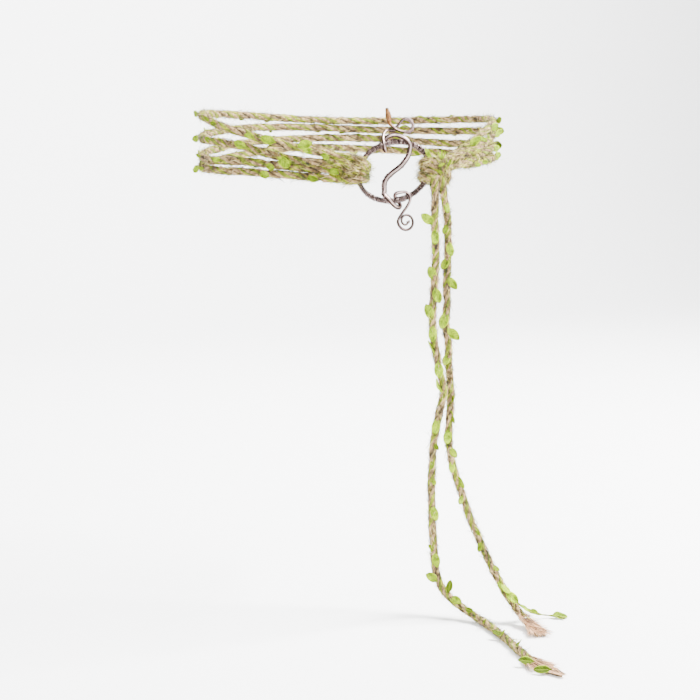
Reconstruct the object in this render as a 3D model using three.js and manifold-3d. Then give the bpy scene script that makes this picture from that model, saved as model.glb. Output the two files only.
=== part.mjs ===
// A rope belt: leafy jute twine passed four times round the waist and tied to an oval wire ring,
// which a snake of tapered wire crosses as an S. Two free tails of the twine hang from the knot.
// Millimetres, +Z up. The wearer faces -Y, and the origin is the middle of the waist's hollow.

import * as THREE from "three";
import { mergeVertices } from "three/addons/utils/BufferGeometryUtils.js";
import Module from "manifold-3d";

const wasm = await Module();
wasm.setup();

// Driving dimensions

const GAP = 0.3;

const WAIST_WIDTH = 260;
const WAIST_DEPTH = 180;
const FAN_HEIGHT = 48;

const CORD_DIAMETER = 5.4;
const CORD_SIDES = 8;
const STRAND_STEPS = 34;
const TAIL_STEPS = 29;

const LEAF_LENGTH = 15;
const LEAF_WIDTH = 7.4;
const LEAF_THICKNESS = 0.7;
const LEAF_ROOT = 0.38 * CORD_DIAMETER;
const LEAF_SPACING = 66;

const LOCK_LENGTH = 9;
const LOCK_SPREAD = 18;
const RIBBON_DIAMETER = 2.2;
const RIBBON_STEPS = 8;
const RIBBON_SIDES = 6;

const RING_LENGTH = 64.8;
const RING_HEIGHT = 45.8;
const RING_WIRE = 4.2;
const RING_TILT = 15.5;
const RING_LEAN = 8;
const RING_SHIFT = 5.1;
const RING_DROP = 19.6;
const RING_STANDOFF = 4;
const RING_STEPS = 36;

const SNAKE_WIRE = 3.6;
const SNAKE_STEPS = 94;
const SNAKE_SIDES = 6;
const FULL_GIRTH = 0.15;
const FINE_WIRE = 2;
const TIP_WIRE = 1.3;
const LOOP_RADIUS = 5.5;
const LOOP_ALONG = 4.18;
const LOOP_ACROSS = 1.6;
const SPIRAL_RADIUS = 7.2;
const SPIRAL_ALONG = -0.4;
const SPIRAL_ACROSS = -2.5;
const SPIRAL_START = 162;
const SPIRAL_SWEEP = 540;
const SPIRAL_ROWS = 18;
const SPIRAL_CLOSING = 0.86;
const HEAD_LENGTH = 15.2;
const HEAD_WIDTH = 5.6;
const HEAD_THICKNESS = 3;
const HEAD_SLOPE = -7;
const HEAD_STEPS = 8;
const HEAD_SIDES = 8;

const HITCH_ANGLE = 158;
const HITCH_PITCH = 4.3;
const HITCH_STEPS = 9;
const KNOT_ANGLE = -19;
const KNOT_PITCH = 5;
const KNOT_REACH = 9;
const KNOT_GATHER = 0.6 * KNOT_PITCH;
const KNOT_SIDES = 6;
const TURN_STEPS = 9;
const STUB_STEPS = 3;
const COLLAR_HEIGHT = 19;
const COLLAR_DEPTH = 15;
const COLLAR_SKEW = 1.5;
const COLLAR_PLACES = [-0.3, 0.7];
const COLLAR_STEPS = 10;

// Sizes that follow

const CORD_PITCH = CORD_DIAMETER + GAP;
const WRAP_RADIUS = RING_WIRE / 2 + CORD_DIAMETER / 2 + GAP;
const HITCH_RADIUS = WRAP_RADIUS + GAP;
const CROSSING = (RING_WIRE + SNAKE_WIRE) / 2 + GAP;

// The four strands round the waist. A row is a place round it, in degrees from the front towards
// the wearer's right. It holds each strand's height as a share of FAN_HEIGHT, top strand first,
// and how far each lies out from the waist, in cord pitches.
const FAN = [
  { around: 25, height: [-0.135, -0.260, -0.380, -0.520], layer: [0, 0.2, 0, 0.2] },
  { around: 34, height: [-0.050, -0.240, -0.360, -0.490], layer: [0, 0.2, 0, 0.1] },
  { around: 47, height: [0.075, -0.145, -0.300, -0.450], layer: [0, 0, 0, 0] },
  { around: 60, height: [0.210, -0.010, -0.250, -0.415], layer: [0, 0, 0, 0] },
  { around: 75, height: [0.345, 0.075, -0.235, -0.395], layer: [0, 0, 0, 0] },
  { around: 95, height: [0.520, 0.125, -0.190, -0.360], layer: [0, 0, 0, 0] },
  { around: 120, height: [0.580, 0.230, -0.080, -0.290], layer: [0, 0, 0, 0] },
  { around: 150, height: [0.580, 0.350, 0.080, -0.125], layer: [0, 0, 0, 0] },
  { around: 180, height: [0.520, 0.375, 0.170, 0.000], layer: [0, 0, 0, 0] },
  { around: 210, height: [0.500, 0.330, 0.170, -0.040], layer: [0, 0, 0, 0] },
  { around: 240, height: [0.520, 0.310, 0.085, -0.095], layer: [0, 0, 0, 0] },
  { around: 268, height: [0.520, 0.300, 0.070, -0.135], layer: [0, 0, 0, 0] },
  { around: 290, height: [0.480, 0.260, 0.040, -0.180], layer: [0, 0, 0, 0] },
  { around: 305, height: [0.345, 0.135, -0.040, -0.230], layer: [0, 0.1, 0.1, 0] },
  { around: 317, height: [0.180, 0.040, -0.105, -0.260], layer: [0, 0.4, 0.4, 0] },
  { around: 326, height: [0.020, -0.075, -0.200, -0.300], layer: [0, 0.9, 0.9, 0] },
  { around: 333, height: [-0.115, -0.135, -0.268, -0.285], layer: [0, 1.1, 1.1, 0] },
];

// Leaves of the waist strands that the front shows. The other leaves are spaced evenly.
// aim is the angle from the strand's own direction, lift the angle off its surface, and twist
// the turn about the leaf's own length.
const FRONT_LEAVES = [
  { strand: 0, at: 0.022, aim: 7, lift: 14, twist: 0, size: 0.65 },
  { strand: 0, at: 0.048, aim: -153, lift: 16, twist: 0, size: 1.05 },
  { strand: 0, at: 0.074, aim: -7, lift: 14, twist: 0, size: 0.9 },
  { strand: 0, at: 0.102, aim: 4, lift: 14, twist: 0, size: 0.65 },
  { strand: 0, at: 0.976, aim: -166, lift: 16, twist: 0, size: 0.95 },
  { strand: 1, at: 0.073, aim: 156, lift: 14, twist: 0, size: 1 },
  { strand: 1, at: 0.118, aim: -11, lift: 14, twist: 0, size: 0.8 },
  { strand: 2, at: 0.067, aim: -163, lift: 14, twist: 0, size: 0.8 },
  { strand: 2, at: 0.089, aim: 162, lift: 14, twist: 0, size: 0.7 },
  { strand: 3, at: 0.037, aim: 168, lift: 14, twist: 0, size: 0.8 },
  { strand: 3, at: 0.102, aim: 173, lift: 14, twist: 0, size: 0.9 },
];

// The snake from the middle of its S to where it leaves the ring, at the top and at the bottom.
// angle is a place on the ring's oval, share how far out from the ring's centre, off and lift
// are steps out from the ring's wire and to its front, in crossings.
const SNAKE_TOP = [
  { angle: 25, share: 0.20, off: 0, lift: 0.10 },
  { angle: 31, share: 0.39, off: 0, lift: 0.25 },
  { angle: 38, share: 0.60, off: 0, lift: 0.50 },
  { angle: 46, share: 0.78, off: 0, lift: 0.80 },
  { angle: 53, share: 1, off: -0.40, lift: 1.00 },
  { angle: 60, share: 1, off: 0.25, lift: 1.05 },
  { angle: 67.5, share: 1, off: 0.80, lift: 0.75 },
  { angle: 74, share: 1, off: 1.15, lift: 0.40 },
  { angle: 80, share: 1, off: 1.15, lift: -0.10 },
  { angle: 85, share: 1, off: 0.80, lift: -0.70 },
  { angle: 88.5, share: 1, off: 0, lift: -1.05 },
  { angle: 92.5, share: 1, off: -0.85, lift: -0.65 },
  { angle: 95, share: 1, off: -1.15, lift: 0 },
  { angle: 97, share: 1, off: -0.85, lift: 0.65 },
  { angle: 97.5, share: 1, off: -0.10, lift: 1.05 },
  { angle: 95, share: 1, off: 0.80, lift: 0.80 },
  { angle: 91, share: 1, off: 1.50, lift: 0.40 },
  { angle: 86, share: 1, off: 2.00, lift: 0.10 },
  { angle: 80.5, share: 1, off: 2.10, lift: -0.10 },
];
const SNAKE_BOTTOM = [
  { angle: 206.5, share: 0.15, off: 0, lift: 0.10 },
  { angle: 209.5, share: 0.31, off: 0, lift: 0.25 },
  { angle: 218, share: 0.50, off: 0, lift: 0.50 },
  { angle: 228, share: 0.69, off: 0, lift: 0.75 },
  { angle: 235.5, share: 1, off: -0.95, lift: 0.80 },
  { angle: 243, share: 1, off: -0.25, lift: 1.05 },
  { angle: 250, share: 1, off: 0.55, lift: 0.90 },
  { angle: 256.5, share: 1, off: 1.10, lift: 0.50 },
  { angle: 262, share: 1, off: 1.25, lift: 0 },
  { angle: 266.5, share: 1, off: 0.95, lift: -0.60 },
  { angle: 266.5, share: 1, off: 0.05, lift: -1.05 },
  { angle: 262, share: 1, off: -0.80, lift: -0.70 },
  { angle: 262.5, share: 1, off: -1.15, lift: -0.10 },
  { angle: 269, share: 1, off: -1.15, lift: 0.40 },
  { angle: 275, share: 1, off: -0.90, lift: 0.80 },
  { angle: 278, share: 1, off: -0.25, lift: 1.05 },
  { angle: 277, share: 1, off: 0.50, lift: 0.95 },
  { angle: 274, share: 1, off: 1.10, lift: 0.60 },
  { angle: 270.5, share: 1, off: 1.60, lift: 0.30 },
  { angle: 266, share: 1, off: 2.10, lift: 0.10 },
];

// The neck's loop, up to where it turns and on from there to the head. Steps are in loop radii from
// the loop's centre, and lift is in millimetres to the front.
const NECK_BEFORE = [
  { along: -2.2, across: -0.15, lift: -0.8 },
  { along: -1.7, across: 0.15, lift: -1.4 },
  { along: -1.05, across: 0.5, lift: -0.9 },
];
const NECK_AFTER = [
  { along: -1.35, across: -0.5, lift: 1.3 },
  { along: -2, across: -0.02, lift: 1.5 },
  { along: -2.48, across: 0.6, lift: 1.2 },
];

// The head's outline: each row is a share of the head's length and its girth there.
const HEAD = [
  { along: 0.00, wide: 0.34, thick: 0.60 },
  { along: 0.22, wide: 0.46, thick: 0.70 },
  { along: 0.42, wide: 0.84, thick: 0.95 },
  { along: 0.55, wide: 1.00, thick: 1.00 },
  { along: 0.70, wide: 0.88, thick: 0.90 },
  { along: 0.85, wide: 0.66, thick: 0.74 },
  { along: 0.95, wide: 0.58, thick: 0.58 },
  { along: 1.00, wide: 0.34, thick: 0.30 },
];

// The hitch's turn of the ring: steps out from the ring's wire and to its front, in wrap radii
const HITCH_TURN = [
  { off: 0.85, lift: 0.75 },
  { off: 0, lift: 1 },
  { off: -0.85, lift: 0.6 },
  { off: -0.85, lift: -0.6 },
  { off: 0, lift: -1 },
  { off: 1.6, lift: -0.8 },
];

// Routes of the free cords, from the middle of the knot's collar. The last points lie on the table.
const TAIL_LONG = [
  [-9.5, -11.8, -15], [-9.4, -11.9, -25], [-9.7, -11.7, -36], [-8.9, -12, -54],
  [-8.6, -12.1, -72], [-9.2, -11.8, -90], [-10.3, -11.3, -107], [-10.5, -11.5, -123],
  [-9.6, -12.8, -138], [-7.8, -14.9, -151], [-6.4, -17.3, -163], [-4.1, -19.3, -175],
  [-4.7, -17.5, -186], [-6, -14.7, -196], [-7.5, -12.8, -209], [-9.6, -11.8, -226],
  [-10.2, -11.5, -243], [-10.6, -11.2, -260], [-9.9, -11.5, -277], [-9.5, -11.7, -293],
  [-8.3, -12.2, -308], [-7.8, -12.8, -321], [-6.6, -15.3, -333], [-4.2, -20.1, -342],
  [-0.1, -27.2, -348.6], [5.2, -35.4, -354.3], [10.2, -45.7, -358.8], [13, -58.5, -361.4],
  [11, -84, -362], [7.3, -109, -362], [2.3, -135, -362], [-0.4, -156, -362],
  [1.3, -171.6, -362], [4.3, -187, -362],
];
const TAIL_SHORT = [
  [-0.5, -9.3, -15], [1, -10, -25], [2.6, -10.8, -37], [3.3, -11.1, -54],
  [2.9, -10.9, -72], [2.4, -10.7, -91], [2.8, -10.9, -107], [2.2, -10.7, -124],
  [4.1, -11.4, -140], [4.6, -11.5, -157], [6.2, -11.7, -173], [6.4, -11.7, -190],
  [5, -11.9, -207], [5, -13, -223], [7.1, -15.2, -240], [10.4, -18.4, -254],
  [14, -22.2, -268], [17.6, -26.6, -283], [21.8, -32, -297], [25.7, -37.3, -310],
  [29.3, -42.8, -321.6], [32.7, -48.8, -332.3], [36.3, -55.4, -342], [39.4, -62.9, -350.4],
  [41.8, -71.6, -357.4], [42.6, -82.5, -361.6], [41.2, -94, -362], [39.6, -103, -362],
];
const RIBBON_END = [
  [31.5, -49.5, -333], [35.5, -55, -339], [42, -60, -347.5], [52.5, -61, -355.5],
  [63.5, -62.5, -360.5], [75, -64.5, -362.9], [80.5, -74, -363],
];

// Leaves of the tails, from the knot down. They face the front.
const LONG_LEAVES = [
  { at: 0.052, aim: -131, lift: 12, twist: 0, size: 1.05 },
  { at: 0.056, aim: -5, lift: 14, twist: 0, size: 0.95 },
  { at: 0.140, aim: -156, lift: 12, twist: 0, size: 0.9 },
  { at: 0.148, aim: 20, lift: 14, twist: 0, size: 1 },
  { at: 0.204, aim: -158, lift: 14, twist: 0, size: 1.05 },
  { at: 0.210, aim: -5, lift: 14, twist: 0, size: 1 },
  { at: 0.260, aim: -152, lift: 12, twist: 65, size: 1 },
  { at: 0.268, aim: -8, lift: 14, twist: 0, size: 1 },
  { at: 0.322, aim: -138, lift: 14, twist: 65, size: 1 },
  { at: 0.363, aim: -2, lift: 14, twist: 0, size: 1 },
  { at: 0.508, aim: 12, lift: 14, twist: 0, size: 0.95 },
  { at: 0.584, aim: 8, lift: 14, twist: 0, size: 0.9 },
  { at: 0.639, aim: -138, lift: 16, twist: 0, size: 0.95 },
  { at: 0.668, aim: 8, lift: 16, twist: 0, size: 0.85 },
  { at: 0.746, aim: -4, lift: 20, twist: 0, size: 0.7 },
  { at: 0.810, aim: -3, lift: 20, twist: 0, size: 0.8 },
  { at: 0.871, aim: 14, lift: 20, twist: 0, size: 0.85 },
  { at: 0.947, aim: -142, lift: 30, twist: 0, size: 0.75 },
  { at: 0.986, aim: -158, lift: 24, twist: 0, size: 0.9 },
];
const SHORT_LEAVES = [
  { at: 0.018, aim: 0, lift: 14, twist: 0, size: 0.75 },
  { at: 0.103, aim: 11, lift: 14, twist: 0, size: 0.9 },
  { at: 0.135, aim: -24, lift: 12, twist: 0, size: 0.75 },
  { at: 0.174, aim: 38, lift: 14, twist: 0, size: 0.95 },
  { at: 0.243, aim: -15, lift: 14, twist: 0, size: 1.05 },
  { at: 0.280, aim: 41, lift: 16, twist: 0, size: 1 },
  { at: 0.332, aim: -24, lift: 12, twist: 0, size: 0.8 },
  { at: 0.453, aim: 20, lift: 12, twist: 65, size: 0.8 },
  { at: 0.490, aim: -11, lift: 14, twist: 0, size: 0.95 },
  { at: 0.529, aim: 23, lift: 14, twist: 0, size: 0.75 },
  { at: 0.556, aim: -14, lift: 12, twist: 0, size: 0.75 },
  { at: 0.589, aim: 14, lift: 14, twist: 50, size: 0.85 },
  { at: 0.737, aim: -34, lift: 14, twist: 50, size: 0.7 },
  { at: 0.853, aim: 10, lift: 16, twist: 0, size: 1.05 },
];

// Solids

function toSolid(geometry) {
  const bare = geometry.clone();
  bare.deleteAttribute("normal");
  bare.deleteAttribute("uv");
  const merged = mergeVertices(bare, 1e-4);
  const mesh = new wasm.Mesh({
    numProp: 3,
    vertProperties: new Float32Array(merged.attributes.position.array),
    triVerts: new Uint32Array(merged.index.array),
  });
  return new wasm.Manifold(mesh);
}

function toGeometry(solid) {
  const mesh = solid.getMesh();
  const geometry = new THREE.BufferGeometry();
  geometry.setAttribute("position", new THREE.BufferAttribute(mesh.vertProperties, 3));
  geometry.setIndex(new THREE.BufferAttribute(mesh.triVerts, 1));
  geometry.computeVertexNormals();
  return geometry;
}

function joined(geometries) {
  return geometries.map(toSolid).reduce((whole, solid) => whole.add(solid));
}

// Curves and tubes

function curveThrough(points, closed = false) {
  return new THREE.CatmullRomCurve3(points, closed, "centripetal");
}

function circle(diameter, sides) {
  const corners = [];
  for (let i = 0; i < sides; i += 1) {
    const angle = (2 * Math.PI * i) / sides;
    corners.push(new THREE.Vector2(Math.cos(angle), Math.sin(angle)).multiplyScalar(diameter / 2));
  }
  return new THREE.Shape(corners);
}

function tube(points, steps, diameter, sides = CORD_SIDES) {
  const extrudePath = curveThrough(points);
  return new THREE.ExtrudeGeometry(circle(diameter, sides), { steps, extrudePath });
}

function closedTube(points, steps, diameter, sides = CORD_SIDES) {
  return new THREE.TubeGeometry(curveThrough(points, true), steps, diameter / 2, sides, true);
}

// A tube whose oval section changes along a curve: sectionAt gives its width and thickness,
// and its thickness stays along the given normal.
function sweep(curve, steps, sides, normal, sectionAt) {
  const vertices = [];
  const triangles = [];
  const middles = curve.getSpacedPoints(steps);
  middles.forEach((middle, step) => {
    const tangent = curve.getTangentAt(step / steps);
    const side = new THREE.Vector3().crossVectors(tangent, normal).normalize();
    const front = new THREE.Vector3().crossVectors(side, tangent);
    const { wide, thick } = sectionAt(step / steps);
    for (let i = 0; i < sides; i += 1) {
      const angle = (2 * Math.PI * i) / sides;
      const point = middle.clone();
      point.addScaledVector(side, (Math.cos(angle) * wide) / 2);
      point.addScaledVector(front, (Math.sin(angle) * thick) / 2);
      vertices.push(...point);
    }
  });
  for (let step = 0; step < steps; step += 1) {
    for (let i = 0; i < sides; i += 1) {
      const a = step * sides + i;
      const b = step * sides + ((i + 1) % sides);
      triangles.push(a, a + sides, b, b, a + sides, b + sides);
    }
  }
  const last = steps * sides;
  for (let i = 1; i < sides - 1; i += 1) {
    triangles.push(0, i, i + 1);
    triangles.push(last, last + i + 1, last + i);
  }
  const geometry = new THREE.BufferGeometry();
  geometry.setAttribute("position", new THREE.Float32BufferAttribute(vertices, 3));
  geometry.setIndex(triangles);
  return geometry;
}

// Leaves

function leafGeometry(size) {
  const length = LEAF_LENGTH * size;
  const half = (LEAF_WIDTH * size) / 2;
  const outline = new THREE.Shape();
  outline.moveTo(0, 0);
  outline.bezierCurveTo(length * 0.2, half * 1.1, length * 0.75, half * 1.6, length, 0);
  outline.bezierCurveTo(length * 0.75, -half * 1.6, length * 0.2, -half * 1.1, 0, 0);
  const plate = { depth: LEAF_THICKNESS, bevelEnabled: false, curveSegments: 3 };
  return new THREE.ExtrudeGeometry(outline, plate).translate(0, 0, -LEAF_THICKNESS / 2);
}

function placedLeaf(curve, leaf, outwardAt) {
  const root = curve.getPointAt(leaf.at);
  const tangent = curve.getTangentAt(leaf.at);
  const out = outwardAt(root);
  out.addScaledVector(tangent, -out.dot(tangent)).normalize();
  const across = new THREE.Vector3().crossVectors(out, tangent);
  const aim = THREE.MathUtils.degToRad(leaf.aim);
  const lift = THREE.MathUtils.degToRad(leaf.lift);
  const flat = tangent.clone().multiplyScalar(Math.cos(aim)).addScaledVector(across, Math.sin(aim));
  const ahead = flat.clone().multiplyScalar(Math.cos(lift)).addScaledVector(out, Math.sin(lift));
  const face = out.clone().multiplyScalar(Math.cos(lift)).addScaledVector(flat, -Math.sin(lift));
  face.applyAxisAngle(ahead, THREE.MathUtils.degToRad(leaf.twist));
  const side = new THREE.Vector3().crossVectors(face, ahead);
  const place = new THREE.Matrix4().makeBasis(ahead, side, face);
  place.setPosition(root.addScaledVector(out, LEAF_ROOT));
  return leafGeometry(leaf.size).applyMatrix4(place);
}

// The ring's own frame: along its long axis, across it, and out of its plane to the front

const ringCentre = new THREE.Vector3(-RING_SHIFT, -WAIST_DEPTH / 2 - RING_STANDOFF, -RING_DROP);
const lean = THREE.MathUtils.degToRad(RING_LEAN);
const tilt = THREE.MathUtils.degToRad(RING_TILT);
const level = new THREE.Vector3(1, 0, 0);
const upright = new THREE.Vector3(0, Math.sin(lean), Math.cos(lean));
const ringFront = new THREE.Vector3().crossVectors(level, upright);
const ringLong = level.clone().applyAxisAngle(ringFront, tilt);
const ringShort = upright.clone().applyAxisAngle(ringFront, tilt);

function inRing(along, across, lift) {
  const point = ringCentre.clone();
  point.addScaledVector(ringLong, along);
  point.addScaledVector(ringShort, across);
  return point.addScaledVector(ringFront, lift);
}

// A point near the ring's wire: at an angle round the oval, off outwards and lift to the front
function byRing(angle, off, lift, share = 1) {
  const turn = THREE.MathUtils.degToRad(angle);
  const along = (RING_LENGTH / 2) * Math.cos(turn);
  const across = (RING_HEIGHT / 2) * Math.sin(turn);
  const outward = new THREE.Vector2(
    Math.cos(turn) / (RING_LENGTH / 2),
    Math.sin(turn) / (RING_HEIGHT / 2),
  ).normalize();
  return inRing(share * along + off * outward.x, share * across + off * outward.y, lift);
}

function anglePitch(angle, pitch) {
  const turn = THREE.MathUtils.degToRad(angle);
  const speed = Math.hypot((RING_LENGTH / 2) * Math.sin(turn), (RING_HEIGHT / 2) * Math.cos(turn));
  return THREE.MathUtils.radToDeg(pitch / speed);
}

function ringTube(diameter) {
  const points = [];
  for (let angle = 0; angle < 360; angle += 15) {
    points.push(byRing(angle, 0, 0));
  }
  return closedTube(points, RING_STEPS, diameter);
}

// The snake

// The wire's girth: full across the S, and less along each wrap
function wrapRows(table) {
  return table.map((row, i) => {
    const share = Math.max(0, i / (table.length - 1) - FULL_GIRTH) / (1 - FULL_GIRTH);
    return {
      point: byRing(row.angle, row.off * CROSSING, row.lift * CROSSING, row.share),
      wire: THREE.MathUtils.lerp(SNAKE_WIRE, FINE_WIRE, share),
    };
  });
}

function spiralRows() {
  const rows = [];
  for (let i = 0; i <= SPIRAL_ROWS; i += 1) {
    const share = i / SPIRAL_ROWS;
    const angle = THREE.MathUtils.degToRad(SPIRAL_START + SPIRAL_SWEEP * share);
    const radius = SPIRAL_RADIUS * (1 - SPIRAL_CLOSING * share ** 1.6);
    const along = SPIRAL_ALONG * SPIRAL_RADIUS + radius * Math.cos(angle);
    const across = SPIRAL_ACROSS * SPIRAL_RADIUS - RING_HEIGHT / 2 + radius * Math.sin(angle);
    const wire = THREE.MathUtils.lerp(FINE_WIRE, TIP_WIRE, share);
    rows.push({ point: inRing(along, across, 0), wire });
  }
  return rows;
}

// The neck goes under its own crossing, round, and over it to the head
function loopRows() {
  const byLoop = ({ along, across, lift }) => ({
    point: inRing(
      (LOOP_ALONG + along) * LOOP_RADIUS,
      RING_HEIGHT / 2 + (LOOP_ACROSS + across) * LOOP_RADIUS,
      lift,
    ),
    wire: FINE_WIRE,
  });
  const round = [];
  for (let angle = 110; angle >= -130; angle -= 30) {
    const turn = THREE.MathUtils.degToRad(angle);
    round.push({ along: Math.cos(turn), across: Math.sin(turn), lift: (110 - angle) / 240 });
  }
  return [...NECK_BEFORE, ...round, ...NECK_AFTER].map(byLoop);
}

function snakeRows() {
  const below = [...wrapRows(SNAKE_BOTTOM), ...spiralRows()].reverse();
  const middle = { point: inRing(0, 0, 0), wire: SNAKE_WIRE };
  return [...below, middle, ...wrapRows(SNAKE_TOP), ...loopRows()];
}

function snakeSolid() {
  const rows = snakeRows();
  const curve = curveThrough(rows.map((row) => row.point));
  const shares = arcShares(curve, rows.length);
  const body = sweep(curve, SNAKE_STEPS, SNAKE_SIDES, ringFront, (u) => {
    const wire = valueAt(shares, rows.map((row) => row.wire), u);
    return { wide: wire, thick: wire };
  });
  const neck = curve.getPointAt(1);
  const ahead = curve.getTangentAt(1);
  const slope = ringShort.clone().applyAxisAngle(ringFront, THREE.MathUtils.degToRad(HEAD_SLOPE));
  const bend = neck.clone().addScaledVector(ahead, HEAD_LENGTH * 0.1);
  const headPoints = [
    neck.clone().addScaledVector(ahead, -1),
    bend,
    bend.clone().addScaledVector(slope, HEAD_LENGTH * 0.35),
    bend.clone().addScaledVector(slope, HEAD_LENGTH * 0.9),
  ];
  const places = HEAD.map((row) => row.along);
  const head = sweep(curveThrough(headPoints), HEAD_STEPS, HEAD_SIDES, ringFront, (u) => ({
    wide: HEAD_WIDTH * valueAt(places, HEAD.map((row) => row.wide), u),
    thick: HEAD_THICKNESS * valueAt(places, HEAD.map((row) => row.thick), u),
  }));
  return toSolid(body).add(toSolid(head));
}

// The share of a curve's length at each of the points that it was drawn through
function arcShares(curve, count) {
  const divisions = 40 * (count - 1);
  const lengths = curve.getLengths(divisions);
  const shares = [];
  for (let i = 0; i < count; i += 1) {
    shares.push(lengths[40 * i] / lengths[divisions]);
  }
  return shares;
}

function valueAt(places, values, place) {
  let i = 1;
  while (i < places.length - 1 && places[i] < place) {
    i += 1;
  }
  const share = (place - places[i - 1]) / (places[i] - places[i - 1]);
  return THREE.MathUtils.lerp(values[i - 1], values[i], THREE.MathUtils.clamp(share, 0, 1));
}

// Waist strands

function waistPoint(around, height, out) {
  const turn = THREE.MathUtils.degToRad(around);
  return new THREE.Vector3(
    -(WAIST_WIDTH / 2 + out) * Math.sin(turn),
    -(WAIST_DEPTH / 2 + out) * Math.cos(turn),
    height,
  );
}

function strandPoints(strand) {
  return FAN.map((row) => {
    const out = row.layer[strand] * CORD_PITCH;
    return waistPoint(row.around, row.height[strand] * FAN_HEIGHT, out);
  });
}

function awayFromWaist(point) {
  return new THREE.Vector3(point.x / WAIST_WIDTH ** 2, point.y / WAIST_DEPTH ** 2, 0);
}

// Evenly spaced leaves, which tilt to either side in turn and stay off the strands beside them
function spacedLeaves(strand, from, to, length) {
  const count = Math.round(((to - from) * length) / LEAF_SPACING);
  const leaves = [];
  for (let i = 0; i < count; i += 1) {
    const sway = Math.sin(2.4 * i + 1.7 * strand);
    leaves.push({
      at: from + ((to - from) * (i + 0.25 + strand * 0.2)) / count,
      aim: 14 * sway + (i % 3 === 2 ? 180 : 0),
      lift: 16 + 4 * sway,
      twist: 0,
      size: 0.92 + 0.1 * sway,
    });
  }
  return leaves;
}

function strandSolid(strand) {
  const points = strandPoints(strand);
  const curve = curveThrough(points);
  const shown = FRONT_LEAVES.filter((leaf) => leaf.strand === strand);
  const leaves = [...shown, ...spacedLeaves(strand, 0.2, 0.9, curve.getLength())];
  const solids = leaves.map((leaf) => placedLeaf(curve, leaf, awayFromWaist));
  return joined([tube(points, STRAND_STEPS, CORD_DIAMETER), ...solids]);
}

// Where a waist strand's first or last point lies, a gap short of it, and the way on from there
function strandEnd(strand, last) {
  const curve = curveThrough(strandPoints(strand));
  const away = curve.getTangentAt(last ? 1 : 0).multiplyScalar(last ? 1 : -1);
  return { end: curve.getPointAt(last ? 1 : 0).addScaledVector(away, GAP), away };
}

// The hitch: each strand passes in front of the ring, through it and back behind it
function hitchSolid() {
  const turns = FAN[0].height.map((_, strand) => {
    const angle = HITCH_ANGLE + (strand - 1.5) * anglePitch(HITCH_ANGLE, HITCH_PITCH);
    const { end, away } = strandEnd(strand, false);
    const start = end.clone().addScaledVector(away, CORD_DIAMETER);
    const turn = HITCH_TURN.map(({ off, lift }) => (
      byRing(angle, off * HITCH_RADIUS, lift * HITCH_RADIUS)
    ));
    return tube([end, start, ...turn], HITCH_STEPS, CORD_DIAMETER, KNOT_SIDES);
  });
  return joined(turns);
}

// The knot: turns round the ring, a collar round those turns, and the ends that leave it

const knotCentre = byRing(KNOT_ANGLE, KNOT_REACH, 0);

function knotTurn(index) {
  const angle = KNOT_ANGLE + (1.5 - index) * anglePitch(KNOT_ANGLE, KNOT_PITCH);
  const gather = knotCentre.clone().addScaledVector(ringShort, (1.5 - index) * KNOT_GATHER);
  const points = [
    byRing(angle, -WRAP_RADIUS, 0),
    byRing(angle, 0, WRAP_RADIUS),
    gather.clone().addScaledVector(ringFront, 0.8 * WRAP_RADIUS),
    gather.clone().addScaledVector(ringLong, 0.7 * WRAP_RADIUS),
    gather.clone().addScaledVector(ringFront, -0.8 * WRAP_RADIUS),
    byRing(angle, 0, -WRAP_RADIUS),
  ];
  return closedTube(points, TURN_STEPS, CORD_DIAMETER, KNOT_SIDES);
}

function collarTurn(share) {
  const centre = knotCentre.clone().addScaledVector(ringLong, share * CORD_DIAMETER);
  const points = [];
  for (let i = 0; i < COLLAR_STEPS; i += 1) {
    const turn = (2 * Math.PI * i) / COLLAR_STEPS;
    const point = centre.clone();
    point.addScaledVector(ringShort, (COLLAR_HEIGHT / 2) * Math.sin(turn));
    point.addScaledVector(ringFront, (COLLAR_DEPTH / 2) * Math.cos(turn));
    points.push(point.addScaledVector(ringLong, COLLAR_SKEW * share * Math.sin(turn)));
  }
  return closedTube(points, COLLAR_STEPS, CORD_DIAMETER, KNOT_SIDES);
}

function fromKnot(offsets) {
  return offsets.map((offset) => knotCentre.clone().add(new THREE.Vector3(...offset)));
}

function tailStub(offsets) {
  const [start, next] = fromKnot(offsets);
  const back = start.clone().sub(next).normalize();
  const end = start.clone().addScaledVector(back, GAP);
  const rise = end.clone().addScaledVector(back, 1.5 * CORD_DIAMETER);
  const inside = rise.clone().lerp(knotCentre, 0.6);
  return tube([end, rise, inside], STUB_STEPS, CORD_DIAMETER, KNOT_SIDES);
}

function strandStub(strand) {
  const { end, away } = strandEnd(strand, true);
  const bend = end.clone().addScaledVector(away, 1.2 * CORD_DIAMETER);
  const inside = bend.clone().lerp(knotCentre, 0.7);
  return tube([end, bend, inside], STUB_STEPS, CORD_DIAMETER, KNOT_SIDES);
}

function knotSolid() {
  const solid = joined([
    ...[0, 1, 2, 3].map(knotTurn),
    ...COLLAR_PLACES.map(collarTurn),
    ...[0, 1, 2, 3].map(strandStub),
    tailStub(TAIL_LONG),
    tailStub(TAIL_SHORT),
  ]);
  return solid.subtract(toSolid(ringTube(RING_WIRE + 2 * GAP)));
}

// Tails

const TOWARDS_VIEW = new THREE.Vector3(-0.35, -0.8, 0.5);

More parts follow.
